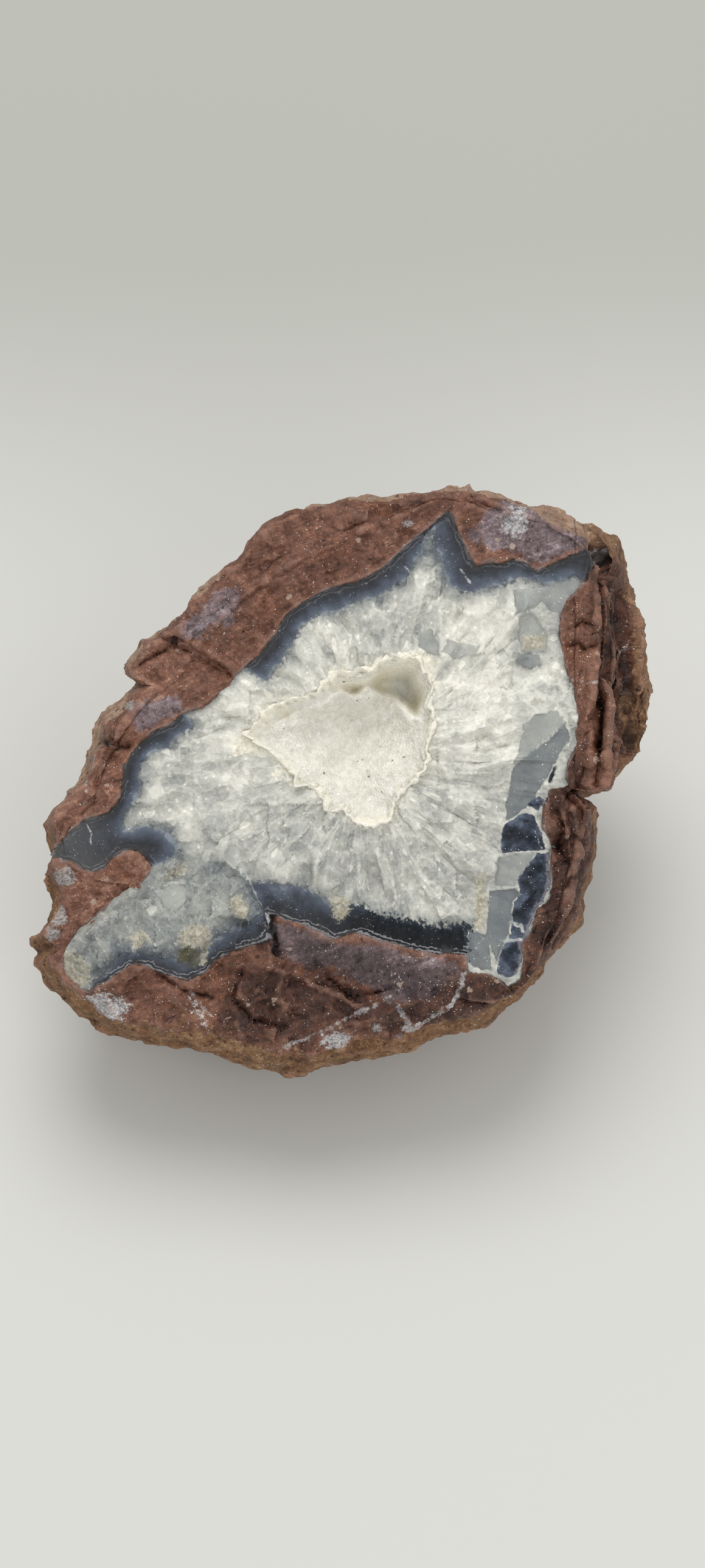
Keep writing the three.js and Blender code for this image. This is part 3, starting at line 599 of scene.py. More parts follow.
def made_piece(name, points, tri, material, values):
    """An object with its mesh in metres, and values at its points for the material."""
    mesh = bpy.data.meshes.new(name)
    mesh.from_pydata((in_place(points) * MM).tolist(), [], tri.tolist(), shade_flat=False)
    for key, data in values.items():
        kind, field = ("FLOAT", "value") if data.ndim == 1 else ("FLOAT_VECTOR", "vector")
        layer = mesh.attributes.new(key, kind, "POINT")
        layer.data.foreach_set(field, data.astype(np.float32).reshape(-1))
    mesh.set_sharp_from_angle(angle=SHARP_SHADING)
    mesh.materials.append(material)
    return linked(name, mesh)


# Material nodes. Sizes in them are millimetres.
HALF = (0.5, 0.5, 0.5)


class Value:
    """A node's output, which adds up and multiplies as a number does."""

    def __init__(self, shader, socket):
        self.shader, self.socket = shader, socket

    def __add__(self, other):
        return self.shader.math("ADD", self, other)

    def __radd__(self, other):
        return self.shader.math("ADD", other, self)

    def __sub__(self, other):
        return self.shader.math("SUBTRACT", self, other)

    def __rsub__(self, other):
        return self.shader.math("SUBTRACT", other, self)

    def __mul__(self, other):
        return self.shader.math("MULTIPLY", self, other)


class Shader:
    """A material of one Principled shader, built up from small calls. Its look is
    the colour so far."""

    def __init__(self, name):
        self.material = bpy.data.materials.new(name)
        self.material.use_nodes = True
        self.tree = self.material.node_tree
        self.tree.nodes.clear()
        self.main = self.tree.nodes.new("ShaderNodeBsdfPrincipled")
        out = self.tree.nodes.new("ShaderNodeOutputMaterial")
        self.tree.links.new(self.main.outputs[0], out.inputs[0])
        self.look = None

    def put(self, value, socket):
        if isinstance(value, Value):
            self.tree.links.new(value.socket, socket)
        else:
            socket.default_value = value

    def finished(self, height=None, **values):
        """The material, with values for the Principled shader's own sockets and with
        small relief whose height is in millimetres."""
        values["Base_Color"] = self.look
        if height:
            values["Normal"] = self.node("Bump", {"Height": height, "Distance": MM})
        for key, value in values.items():
            self.put(value, self.main.inputs[key.replace("_", " ")])
        return self.material

    def node(self, kind, inputs, output=0, **settings):
        made = self.tree.nodes.new("ShaderNode" + kind)
        for key, value in settings.items():
            setattr(made, key, value)
        for key, value in inputs.items():
            self.put(value, made.inputs[key])
        return Value(self, made.outputs[output])

    def value(self, name):
        return self.node("Attribute", {}, "Fac", attribute_name=name)

    def place(self, name):
        return self.node("Attribute", {}, "Vector", attribute_name=name)

    def math(self, operation, a, b=0.0, clamp=False):
        return self.node("Math", {0: a, 1: b}, operation=operation, use_clamp=clamp)

    def vector_math(self, operation, a, b, output=0):
        return self.node("VectorMath", {0: a, 1: b}, output, operation=operation)

    def most(self, a, b):
        return self.math("MAXIMUM", a, b)

    def step(self, value, low, high):
        inputs = {"Value": value, "From Min": low, "From Max": high}
        return self.node("MapRange", inputs, interpolation_type="SMOOTHSTEP")

    def spread(self, value, least, most, low=0.0, high=1.0):
        """A value drawn out from one range to another."""
        inputs = {"Value": value, "From Min": low, "From Max": high, "To Min": least, "To Max": most}
        return self.node("MapRange", inputs)

    def between(self, factor, a, b):
        return self.node("Mix", {0: factor, 2: a, 3: b}, data_type="FLOAT")

    def blend(self, factor, a, b):
        return self.node("Mix", {0: factor, 6: a, 7: b}, 2, data_type="RGBA")

    def coat(self, cover, *colour):
        """Lays a colour over the look: an output, or three screen values."""
        self.look = self.blend(cover, self.look, srgb(*colour) if len(colour) == 3 else colour[0])

    def ramp(self, value, *stops):
        """Screen colours blended along a value."""
        made = self.tree.nodes.new("ShaderNodeValToRGB")
        self.put(value, made.inputs[0])
        points = made.color_ramp.elements
        while len(points) < len(stops):
            points.new(0.5)
        for point, (place, *colour) in zip(points, stops):
            point.position, point.color = place, srgb(*colour)
        return Value(self, made.outputs[0])

    def noise(self, vector, size, detail=2.0, roughness=0.5, output=0):
        inputs = {"Vector": vector, "Scale": 1 / size, "Detail": detail, "Roughness": roughness}
        return self.node("TexNoise", inputs, output)

    def drift(self, vector, size, most, detail=3.0, roughness=0.6):
        """Noise from -most to most."""
        return self.spread(self.noise(vector, size, detail, roughness), -most, most, 0.3, 0.7)

    def frayed(self, name, low, high, *drift):
        """0 where a value that a drift has frayed is below low, 1 where it is above high."""
        return self.step(self.value(name) + self.drift(*drift), low, high)

    def warped(self, vector, size, amount):
        """Places pushed about by noise."""
        away = self.vector_math("SUBTRACT", self.noise(vector, size, output="Color"), HALF)
        away = self.node("VectorMath", {0: away, "Scale": 2 * amount}, operation="SCALE")
        return self.vector_math("ADD", vector, away)

    def cells(self, vector, size, output="Distance", feature="F1"):
        return self.node("TexVoronoi", {"Vector": vector, "Scale": 1 / size}, output, feature=feature)

    def cell_tone(self, vector, size):
        """A random value from 0 to 1 for each cell."""
        return self.node("SeparateColor", {0: self.cells(vector, size, "Color")})

    def facets(self, vector, size):
        """Height of flat facets that each lean their own way, and their random tone."""
        lean = self.vector_math("SUBTRACT", self.cells(vector, size, "Color"), HALF)
        away = self.vector_math("SUBTRACT", vector, self.cells(vector, size, "Position"))
        return self.vector_math("DOT_PRODUCT", away, lean, "Value"), self.cell_tone(vector, size)

    def specks(self, vector, size, share, radius):
        """1 inside round specks that fill a share of the cells."""
        found = self.math("LESS_THAN", self.cell_tone(vector, size), share)
        return found * self.math("LESS_THAN", self.cells(vector, size), radius)

    def crumbs(self, vector, warp, amount, *specks):
        """Specks that a warp makes ragged."""
        return self.specks(self.warped(vector, warp, amount), *specks)

    def glints(self, vector):
        """1 inside tiny ragged specks, closer together in some places."""
        close = self.spread(self.noise(vector, 4), 0.86, 0.64)
        return self.math("GREATER_THAN", self.noise(vector, 0.3, 1), close)


def rock_material():
    """Red-brown host rock with its altered patches, veins and weathered skin."""
    s = Shader("nodule_stone")
    at, along = s.place("face_mm"), s.place("streaks")
    medium, fine = s.noise(at, 2.2, 5, 0.7), s.noise(at, 0.45, 4, 0.75)
    big_facet, big_tone = s.facets(s.warped(at, 1.5, 0.5), 1.5)
    facet, facet_tone = s.facets(s.warped(at, 0.5, 0.25), 0.55)
    mixed = s.value("tone") + s.drift(at, 2.2, 0.08, 5, 0.7) + s.drift(at, 0.5, 0.07, 4, 0.75)
    mixed = mixed + s.drift(along, 0.8, 0.11, 4, 0.7)
    mixed = mixed + s.spread(big_tone, -0.05, 0.05) + s.spread(facet_tone, -0.07, 0.07)
    s.look = s.ramp(mixed, (0.05, 32, 17, 12), (0.3, 73, 43, 32), (0.5, 107, 70, 54), (0.68, 137, 95, 77),
                    (0.9, 194, 152, 130))
    rusty = s.ramp(mixed, (0.1, 44, 20, 11), (0.5, 112, 66, 44), (0.9, 186, 124, 90))
    s.coat(s.step(s.noise(at, 8, 4, 0.6), 0.52, 0.62) * 0.45, rusty)
    lilac = s.ramp(mixed, (0.1, 52, 42, 44), (0.4, 94, 80, 83), (0.6, 136, 121, 127), (0.9, 196, 188, 194))
    s.coat(s.frayed("purple", -0.8, 0.4, at, 2.6, 1.3, 5, 0.75) * 0.85, lilac)

    # Pale flecks, pits, grit, sparks, and the streaks' dashes and scratches
    s.coat(s.crumbs(at, 0.7, 0.5, 2.3, 0.07, 0.2) * 0.6, 190, 168, 150)
    pits = s.crumbs(at, 0.6, 0.4, 1.1, 0.06, 0.24)
    s.coat(pits * 0.7, 28, 17, 14)
    s.coat(s.crumbs(at, 0.5, 0.3, 0.9, 0.2, 0.2) * 0.4, 52, 32, 26)
    s.coat(s.crumbs(at, 0.4, 0.15, 0.6, 0.22, 0.17) * 0.5, 206, 188, 178)
    s.coat(s.specks(along, 1.4, 0.2, 0.12) * 0.7, 44, 26, 20)
    s.coat(s.specks(along, 1.9, 0.1, 0.07) * 0.5, 186, 152, 134)

    # White patches, veins and round fillings
    white = s.frayed("white", 0.1, 0.9, at, 0.9, 1.9, 6, 0.85)
    veins = s.frayed("vein", -0.05, 0.2, at, 1.3, 0.5, 5, 0.75) * s.step(s.noise(at, 2.5, 3), 0.38, 0.5)
    milky = s.ramp(fine * 0.5 + medium * 0.5, (0.36, 108, 108, 114), (0.47, 158, 157, 160), (0.57, 228, 226, 224))
    s.coat(s.most(white * 0.85, veins * 0.6), milky)
    s.coat(s.frayed("blob", -0.1, 0.3, at, 0.8, 0.7, 5, 0.8) * 0.85,
           s.ramp(fine, (0.35, 84, 76, 78), (0.6, 190, 186, 182)))

    # Weathered skin, paler in its upper part except at the right, and mossy in places
    rock = s.look
    s.look = s.ramp(s.noise(at, 3.2, 6, 0.75) * 0.6 + fine * 0.4, (0.3, 50, 31, 21), (0.43, 102, 71, 47),
                    (0.52, 138, 101, 70), (0.6, 172, 137, 104), (0.7, 210, 192, 166))
    s.coat(s.value("paler_above") * 0.35, s.ramp(medium, (0.35, 132, 104, 92), (0.6, 214, 194, 180)))
    s.coat(s.step(s.noise(at, 6, 4, 0.6), 0.54, 0.64) * 0.28, 104, 94, 62)
    s.coat(s.crumbs(at, 0.6, 0.4, 1.1, 0.2, 0.3) * 0.7, 44, 30, 24)
    skin = s.frayed("skin", 0.35, 0.65, at, 1.6, 0.4, 5, 0.8)
    s.look = s.blend(skin, rock, s.look)

    # Painted shade darkens the hollows, painted highlights lighten the ridges, and a broken pale line along the
    # filling is a painted highlight on the rock's edge
    painted_shading = s.value("painted_shading")
    s.coat(s.step(painted_shading, 0.04, 0.9) * 0.85, 26, 13, 11)
    s.coat(s.step(painted_shading * -1, 0.04, 0.5) * 0.35, 176, 134, 114)
    # Painted highlight: a pale line on the rock's edge where it meets the filling
    line = 1 - s.step(s.math("ABSOLUTE", s.value("filling")), 0.1, 0.5)
    s.coat(line * s.step(s.noise(at, 3, 3), 0.45, 0.62) * 0.45, 140, 134, 134)
    s.coat(s.glints(at) * 0.8, 250, 244, 238)
    height = fine * 0.2 + medium * 0.3 + s.noise(along, 0.8, 4, 0.7) * 0.3 + big_facet * 0.6 + facet * 0.7
    return s.finished(height - pits * 0.4, Roughness=s.between(skin, s.spread(facet_tone, 0.25, 0.7), 0.85),
                      Specular_IOR_Level=0.4)


def filling_material():
    """Agate band and the quartz inside it."""
    s = Shader("nodule_filling")
    at, out = s.place("face_mm"), s.place("from_heart")
    filling, quartz, night = s.value("filling"), s.value("quartz"), s.value("night")

    # Agate, dark beside the rock and bluer beside the quartz
    across = s.math("DIVIDE", filling, s.most(filling - quartz, 0.05), clamp=True) + s.drift(at, 3, 0.18)
    s.look = s.ramp(across, (0.0, 58, 57, 58), (0.3, 45, 47, 52), (0.55, 60, 64, 73), (0.8, 80, 88, 101),
                    (0.95, 98, 107, 119), (1.0, 128, 136, 144))
    s.coat(s.value("lobe") * 0.25, 120, 121, 122)
    s.coat(night, s.ramp(across, (0.0, 60, 60, 64), (0.2, 12, 15, 19), (0.5, 3, 7, 13), (0.8, 5, 13, 24),
                         (1.0, 32, 43, 55)))
    s.coat(s.step(s.noise(at, 1.0, 6, 0.85), 0.56, 0.7) * 0.2, 140, 146, 152)
    s.coat(s.step(s.noise(at, 0.6, 3, 0.7), 0.7, 0.74) * 0.6, 190, 198, 204)
    wave = filling + s.drift(at, 1.6, 0.3, 4, 0.7)
    for middle, width in ((0.15, 0.2), (0.8, 0.12)):
        line = 1 - s.step(s.math("ABSOLUTE", wave - middle), width / 2, width)
        s.coat(line * s.step(s.noise(at, 3), 0.4, 0.52) * (0.25 + s.value("low") * 0.6), 142, 141, 144)
    agate = s.look

    # Quartz: angular crystals of different greys, with splinters, gaps and faint seams
    grown, broken = s.warped(out, 1.3, 0.5), s.warped(at, 1.6, 0.7)
    long_facet, long = s.facets(grown, 1.3)
    big_facet, big = s.facets(broken, 1.7)
    facet, small = s.facets(s.warped(at, 0.5, 0.25), 0.48)

    def seam(vector, size, gaps):
        line = s.step(s.cells(vector, size, feature="DISTANCE_TO_EDGE"), 0.0, 0.03)
        return (1 - line) * s.step(s.noise(at, gaps), 0.52, 0.58)

    fibre, fibrous = s.noise(out, 0.7, 4, 0.65), s.value("fibrous")
    splinters = s.most(s.crumbs(out, 0.45, 0.3, 0.9, 0.22, 0.3), s.crumbs(at, 0.5, 0.35, 1.2, 0.16, 0.26))
    tone = s.value("tone") + s.spread(small, -0.04, 0.04) + s.spread(big, -0.06, 0.06)
    tone = tone + s.spread(long, -0.07, 0.07) + s.most(seam(grown, 1.3, 1.7), seam(broken, 1.7, 2.3)) * 0.09
    tone = tone + fibrous * s.drift(out, 0.7, 0.05, 4, 0.65) + s.drift(at, 2.6, 0.03)
    tone = tone + splinters * 0.22 + s.crumbs(out, 0.6, 0.35, 1.3, 0.25, 0.3) * -0.13
    smooth = s.value("shard_tone") + s.drift(at, 4, 0.08, 2) + s.drift(at, 0.5, 0.02)
    shard = s.frayed("shard", -0.1, 0.15, at, 1.5, 0.2, 4)
    s.look = s.ramp(s.between(shard * 0.85, tone, smooth), (0.0, 94, 101, 108), (0.25, 136, 140, 139),
                    (0.5, 177, 178, 172), (0.75, 215, 214, 205), (1.0, 246, 243, 232))

    # Ragged edge between the two, with small white crystals standing out of the band
    teeth = s.drift(at, 0.8, 0.35, 5, 0.8) + s.spread(small, -0.3, 0.3) + night * s.drift(out, 0.3, 0.7, 2)
    is_quartz = s.step(quartz + teeth, -0.3, 0.5)
    s.look = s.blend(is_quartz, agate, s.look)

    # Cream and green growths, murky quartz and the dark windows with a paler strip
    s.coat(s.frayed("cream", -0.1, 0.4, at, 0.9, 0.9, 5, 0.8) * 0.7,
           s.ramp(small, (0, 156, 147, 120), (1, 214, 208, 190)))
    s.coat(s.frayed("green", -0.5, 0.9, at, 1.2, 0.5) * 0.85,
           s.ramp(fibre, (0.35, 60, 56, 34), (0.65, 116, 108, 72)))
    s.coat(s.value("murk") * s.step(s.noise(at, 2.0, 5, 0.75), 0.38, 0.6) * 0.7, 66, 70, 76)
    window = s.frayed("window", -0.05, 0.15, at, 1.2, 0.2)
    deep = s.value("window") * -0.08 + s.noise(at, 2.6, 3, 0.6)
    s.coat(window, s.ramp(deep, (0.3, 22, 27, 36), (0.45, 52, 60, 74), (0.6, 90, 100, 116)))
    strip = window * (1 - s.frayed("filling", 0.5, 0.9, at, 1.0, 0.5, 5, 0.75))
    s.coat(strip * 0.65, s.ramp(small, (0, 96, 91, 98), (1, 152, 147, 154)))

    # Bright broken edges, the cream fringe along the hollow, and glints
    s.coat(s.frayed("flake", -0.14, 0.05, at, 0.9, 0.12, 4, 0.7) * s.spread(small, 0.2, 0.75), 214, 216, 212)
    fringe = s.step(s.value("rim") * -1 + 0.5 + s.drift(at, 1.1, 1.3, 4, 0.75), 0.0, 0.12)
    s.coat(fringe * 0.9, s.ramp(small, (0, 224, 219, 200), (0.5, 240, 236, 220), (1, 248, 245, 232)))
    s.coat(s.glints(at) * s.spread(is_quartz, 0.3, 0.8), 252, 252, 250)
    clear = is_quartz * (1 - window)
    facets = long_facet * 0.45 + big_facet * 0.5 + facet * 0.45 + fibre * fibrous * 0.15
    height = s.between(clear, s.noise(at, 0.9, 5, 0.7) * 0.15, facets * s.spread(shard, 1, 0.1))
    return s.finished(height, Roughness=s.between(clear, 0.3, s.spread(small, 0.15, 0.5)), Specular_IOR_Level=0.22,
                      Subsurface_Weight=clear * 0.6, Subsurface_Scale=0.0012, Subsurface_Radius=(1.0, 1.0, 1.0))


def druse_material():
    """Crust of small crystals, cream along its lip."""
    s = Shader("druse_crystal")
    at = s.place("face_mm")
    s.look = s.ramp(s.noise(at, 1.2, 4, 0.6), (0.3, 214, 211, 200), (0.5, 227, 224, 213), (0.7, 239, 237, 228))
    # Painted light: the wall gets a cream colour lighter than the floor, against the shade that falls on it
    s.coat(s.value("wall") * 0.7, 244, 236, 210)
    # Painted light: the deep pocket is painted near white, against the shade that falls in it
    s.coat(s.value("painted_shading") * 0.8, 250, 249, 242)
    s.coat(s.step(s.value("lip"), 0.3, 0.8) * 0.85, 246, 241, 222)
    # Painted glints and painted sparkles: white specks of highlight on the crust
    s.coat(s.glints(at) * 0.8, 255, 255, 255)
    s.coat(s.crumbs(at, 0.5, 0.2, 1.1, 0.3, 0.16), 255, 255, 255)
    spots = s.most(s.crumbs(at, 0.8, 0.4, 1.9, 0.3, 0.12), s.crumbs(at, 0.5, 0.3, 1.0, 0.08, 0.14))
    s.coat(spots * 0.75, 92, 80, 66)
    height = s.cells(at, 0.42) * 0.2 + s.noise(at, 0.9, 3) * 0.3
    return s.finished(height, Roughness=s.spread(s.cell_tone(at, 0.42), 0.25, 0.6), Subsurface_Weight=0.5,
                      Subsurface_Scale=0.0015, Subsurface_Radius=(1.0, 0.97, 0.9))


# Lengths of edges on the refined meshes, and the limits of their parts, in millimetres
MOST_ROUNDS, LEAST_GROWTH = 8, 1.02
ROCK_EDGE, RIM_EDGE, BACK_EDGE, SEAT_EDGE = 0.6, 0.8, 1.9, 3.0
CRYSTAL_EDGE, HOLLOW_EDGE, CRUST_EDGE, CRUST_BACK_EDGE, SLAB_EDGE = 0.52, 1.5, 0.4, 1.5, 0.46
LEFT_WHOLE = 50.0
SLABS_FROM = 36
ROCK_FLOOR, FACE_FLOOR = -26, -16

# How far a normal turns to the front on the flat of the face, and at the filling's least
FLAT_ENOUGH, TURNED_AWAY = 0.6, -0.3

# Columns of the points while they are refined: depth inside the filling and inside the rim
IN_FILLING, IN_RIM = 3, 4


def finely(node, reach_of, soft_rounds, sharp_from):
    """A CAD node split down to a reach and evened out: on the broken face only in
    height, so that its lines stay in place."""
    points, tri = welded(node)
    sharp = sharp_edges(points, tri, sharp_from)
    points = np.column_stack([points, depth_inside(points[:, :2], FILLING), depth_inside(points[:, :2], RIM)])
    for step in range(MOST_ROUNDS):
        before = len(tri)
        points, tri, sharp = refine(points, tri, sharp, reach_of(points, point_normals(points, tri)))
        if step < soft_rounds:
            facing = point_normals(points, tri)[:, 2] > FLAT_ENOUGH
            height = relax(points, tri, sharp, 0.5, 3)[:, 2]
            points = np.where(facing[:, None], points, relax(points, tri, sharp, 0.25))
            points[facing, 2] = height[facing]
        if len(tri) < before * LEAST_GROWTH:
            break
    return relax(points, tri, sharp, 0.25)[:, :3], tri


def rock_reach(rows, normals):
    reach = np.where(normals[:, 2] > 0.5, ROCK_EDGE, RIM_EDGE)
    reach = np.where((rows[:, 0] > SLABS_FROM) & (rows[:, 1] > 0), SLAB_EDGE, reach)
    reach = np.where(rows[:, IN_FILLING] > 1.0, SEAT_EDGE, reach)
    return np.where((normals[:, 2] > 0.0) & (rows[:, 2] > ROCK_FLOOR), reach, BACK_EDGE)


def filling_reach(rows, normals):
    facing = (normals[:, 2] > TURNED_AWAY) & (rows[:, 2] > FACE_FLOOR) & (rows[:, IN_FILLING] > -1.0)
    return np.where(facing, np.where(rows[:, IN_RIM] > 2.0, HOLLOW_EDGE, CRYSTAL_EDGE), LEFT_WHOLE)


def crust_reach(rows, normals):
    return np.where(normals[:, 2] > -0.2, CRUST_EDGE, CRUST_BACK_EDGE)


def wandered(flat):
    """Places pushed about, for boundaries that aren't drawn with straight lines."""
    return flat + 0.22 * push(flat, 2.1, 5, 6) + 0.14 * push(flat, 0.9, 15, 16)


def heart_frame(flat):
    """Direction and distance from the hollow's middle."""
    away = flat - on_face(HEART)
    reach = np.maximum(np.linalg.norm(away, axis=1), 0.5)
    return away / reach[:, None], reach


# The stone: host rock, and the filling of agate and quartz that sits in it. The
# rock lies deeper under the filling, whose edge dips by as much. The hollow's wall
# stands out to meet the crust, and the chunk stands out beside the quartz.
SEAT_DEPTH, GAP_FILL, CHUNK_RISE = 1.3, 0.5, 0.9

# The filling's hidden underside, and how far it is drawn in
UNDERSIDE, UNDERSIDE_SHARE = -18, 0.5

# Puts points that aren't on the broken face far outside the filling
OFF_FACE = 1000

# Unit directions across the streaks of the rock, at the right and elsewhere
ACROSS_RIGHT, ACROSS = (1, -0.05), (-0.375, 0.927)


def rock_relief(points):
    """Chips of broken rock: their height in millimetres, tone and edges."""
    bent = points + 0.5 * push(points, 2.4, 57, 58, 59)
    coarse, coarse_tone, coarse_edge = chips(bent, 4.2, 51, 0.6, 0.45)
    small, small_tone, small_edge = chips(bent, 1.6, 61, 0.8, 0.5)
    rough = smooth_step(noise(points, 11, 67), -0.5, 0.4)
    lift = 0.30 * coarse + (0.16 + 0.34 * rough) * small + 0.08 * noise(points, 0.8, 71)
    lift += 0.3 * smooth_step(-points[:, 2], 0, 4) * chips(bent, 2.6, 63, 1.0, 0.5)[0]
    lift -= np.median(lift)
    return lift, 0.5 * coarse_tone + 0.5 * small_tone, np.maximum(0.7 * coarse_edge, rough * small_edge)


def skin_relief(points):
    """Lumps and pits of the weathered skin, in millimetres."""
    lumps = 0.5 * noise(points, 4.5, 81) + 0.35 * noise(points, 1.9, 91) + 0.5 * chips(points, 5.5, 95, 0.6, 0.4)[0]
    return lumps + 0.3 * chips(points, 1.7, 97, 0.7, 0.5)[0] - 0.6 * smooth_step(noise(points, 2.6, 99), 0.3, 0.7)


def crystal_relief(flat, outward):
    """Facets of broken quartz: their height in millimetres, tone and edges."""
    coarse, coarse_tone, coarse_edge = chips(flat + 0.4 * push(flat, 1.7, 33, 34), 3.1, 31, 0.9, 0.4, 0.6)
    small, small_tone, small_edge = chips(outward, 1.25, 41, 1.0, 0.45, 0.6)
    lift = 0.34 * coarse + 0.40 * small
    lift -= np.median(lift)
    return lift, 0.5 * coarse_tone + 0.5 * small_tone, np.maximum(coarse_edge, 0.8 * small_edge)


def above_ground(points):
    """Keeps points on or above the floor."""
    placed = in_place(points)
    placed[:, 2] = np.maximum(placed[:, 2], 0)
    return to_face(placed)


def rock_piece():
    points, tri = finely("nodule", rock_reach, 3, 34)
    normals = even_normals(points, tri)
    flat = points[:, :2]
    x, y, z = points.T
    drawn = wandered(flat)

    # Relief: the broken face, its front edge, and the seat under the filling
    face = smooth_step(normals[:, 2], 0.1, 0.45) * smooth_step(z, -13, -9)
    front = smooth_step(normals[:, 2], -0.1, 0.2) * smooth_step(z, -18, -14)
    filling = depth_inside(drawn, FILLING) - OFF_FACE * (1 - face)
    lift, tone, edge = rock_relief(points)
    lift = lift + (1 - face) * 0.6 * skin_relief(points) + front * creased(drawn, CREASES)
    seat = smooth_step(filling, -0.02, 0.5)
    lift = lift * (1 - seat) * smooth_step(in_place(points)[:, 2], 0.3, 4)
    lift -= SEAT_DEPTH * seat + SEAT_DEPTH * smooth_step(filling, 0.5, 3)
    shaped = above_ground(points + normals * lift[:, None])

    # Where the skin begins behind the face: further back at the right
    right = smooth_step(x, 34, 42) * smooth_step(y, -3, 1)
    low_right = smooth_step(x, 24, 30) * smooth_step(y, -35, -28)
    skin_from = 1.8 + 13 * right + 5 * low_right * (1 - right)
    skin = np.maximum(smooth_step(-z, skin_from, skin_from + 3),
                      front * smooth_step(depth_in_any(flat, SKIN), -0.6, 0.6))
    # The darker rock is painted shade; the paler rock is only lighter in tone
    dark, pale = (smooth_step(depth_in_any(drawn, polygons), -2, 2) for polygons in (SHADED_ROCK, PALE))
    across = np.where(right[:, None] > 0.5, ACROSS_RIGHT, ACROSS)
    along = np.stack([-across[:, 1], across[:, 0]], 1)
    # Hollowness below gives painted shade in the rock's hollows and painted highlights on its ridges
    piece = made_piece("nodule_rock", shaped, tri, rock_material(), {
        "filling": filling, "purple": depth_in_any(flat, PURPLE), "white": depth_in_any(flat, WHITE),
        "vein": depth_in_veins(flat, VEINS), "blob": depth_in_blobs(flat, BLOBS), "skin": skin,
        "tone": 0.50 + 0.20 * (tone - 0.5) - 0.26 * dark + 0.10 * pale + 0.08 * edge,
        "painted_shading": hollowness(shaped, tri, 10) * (1 - seat),
        "paler_above": smooth_step(y, -12, 4) * (1 - 0.8 * smooth_step(x, 36, 44)),
        "face_mm": points,
        "streaks": np.stack([(flat * across).sum(1), 0.15 * (flat * along).sum(1), z], 1),
    })
    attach(piece, "root")
    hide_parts("nodule")


def closed_below(points, tri):
    """Closes an open patch with a wall that leans in and a flat underside."""
    edges, sides = edges_of(tri)
    single = np.bincount(sides.reshape(-1), minlength=len(edges)) == 1
    loop = sides_of(tri)[single[sides.T.reshape(-1)]]
    rim = np.unique(loop)
    low = np.full(len(points), -1)
    low[rim] = len(points) + np.arange(len(rim))
    heart = on_face(HEART)
    below = np.column_stack([heart + UNDERSIDE_SHARE * (points[rim, :2] - heart), np.full(len(rim), UNDERSIDE)])
    wall = [np.stack([loop[:, 1], loop[:, 0], low[loop[:, 0]]], 1),
            np.stack([loop[:, 1], low[loop[:, 0]], low[loop[:, 1]]], 1)]
    flat = bmesh.new()
    corners = {k: flat.verts.new(point) for k, point in zip(low[rim], below)}
    edge = [flat.edges.new((corners[a], corners[b])) for a, b in low[loop]]
    flat.verts.index_update()
    filled = bmesh.ops.triangle_fill(flat, edges=edge, use_beauty=True)["geom"]
    number = {corner.index: k for k, corner in corners.items()}
    faces = [g for g in filled if isinstance(g, bmesh.types.BMFace)]
    under = np.array([[number[v.index] for v in (f.verts if f.normal.z < 0 else reversed(f.verts))] for f in faces])
    flat.free()
    return np.concatenate([points, below]), np.concatenate([tri, *wall, under])


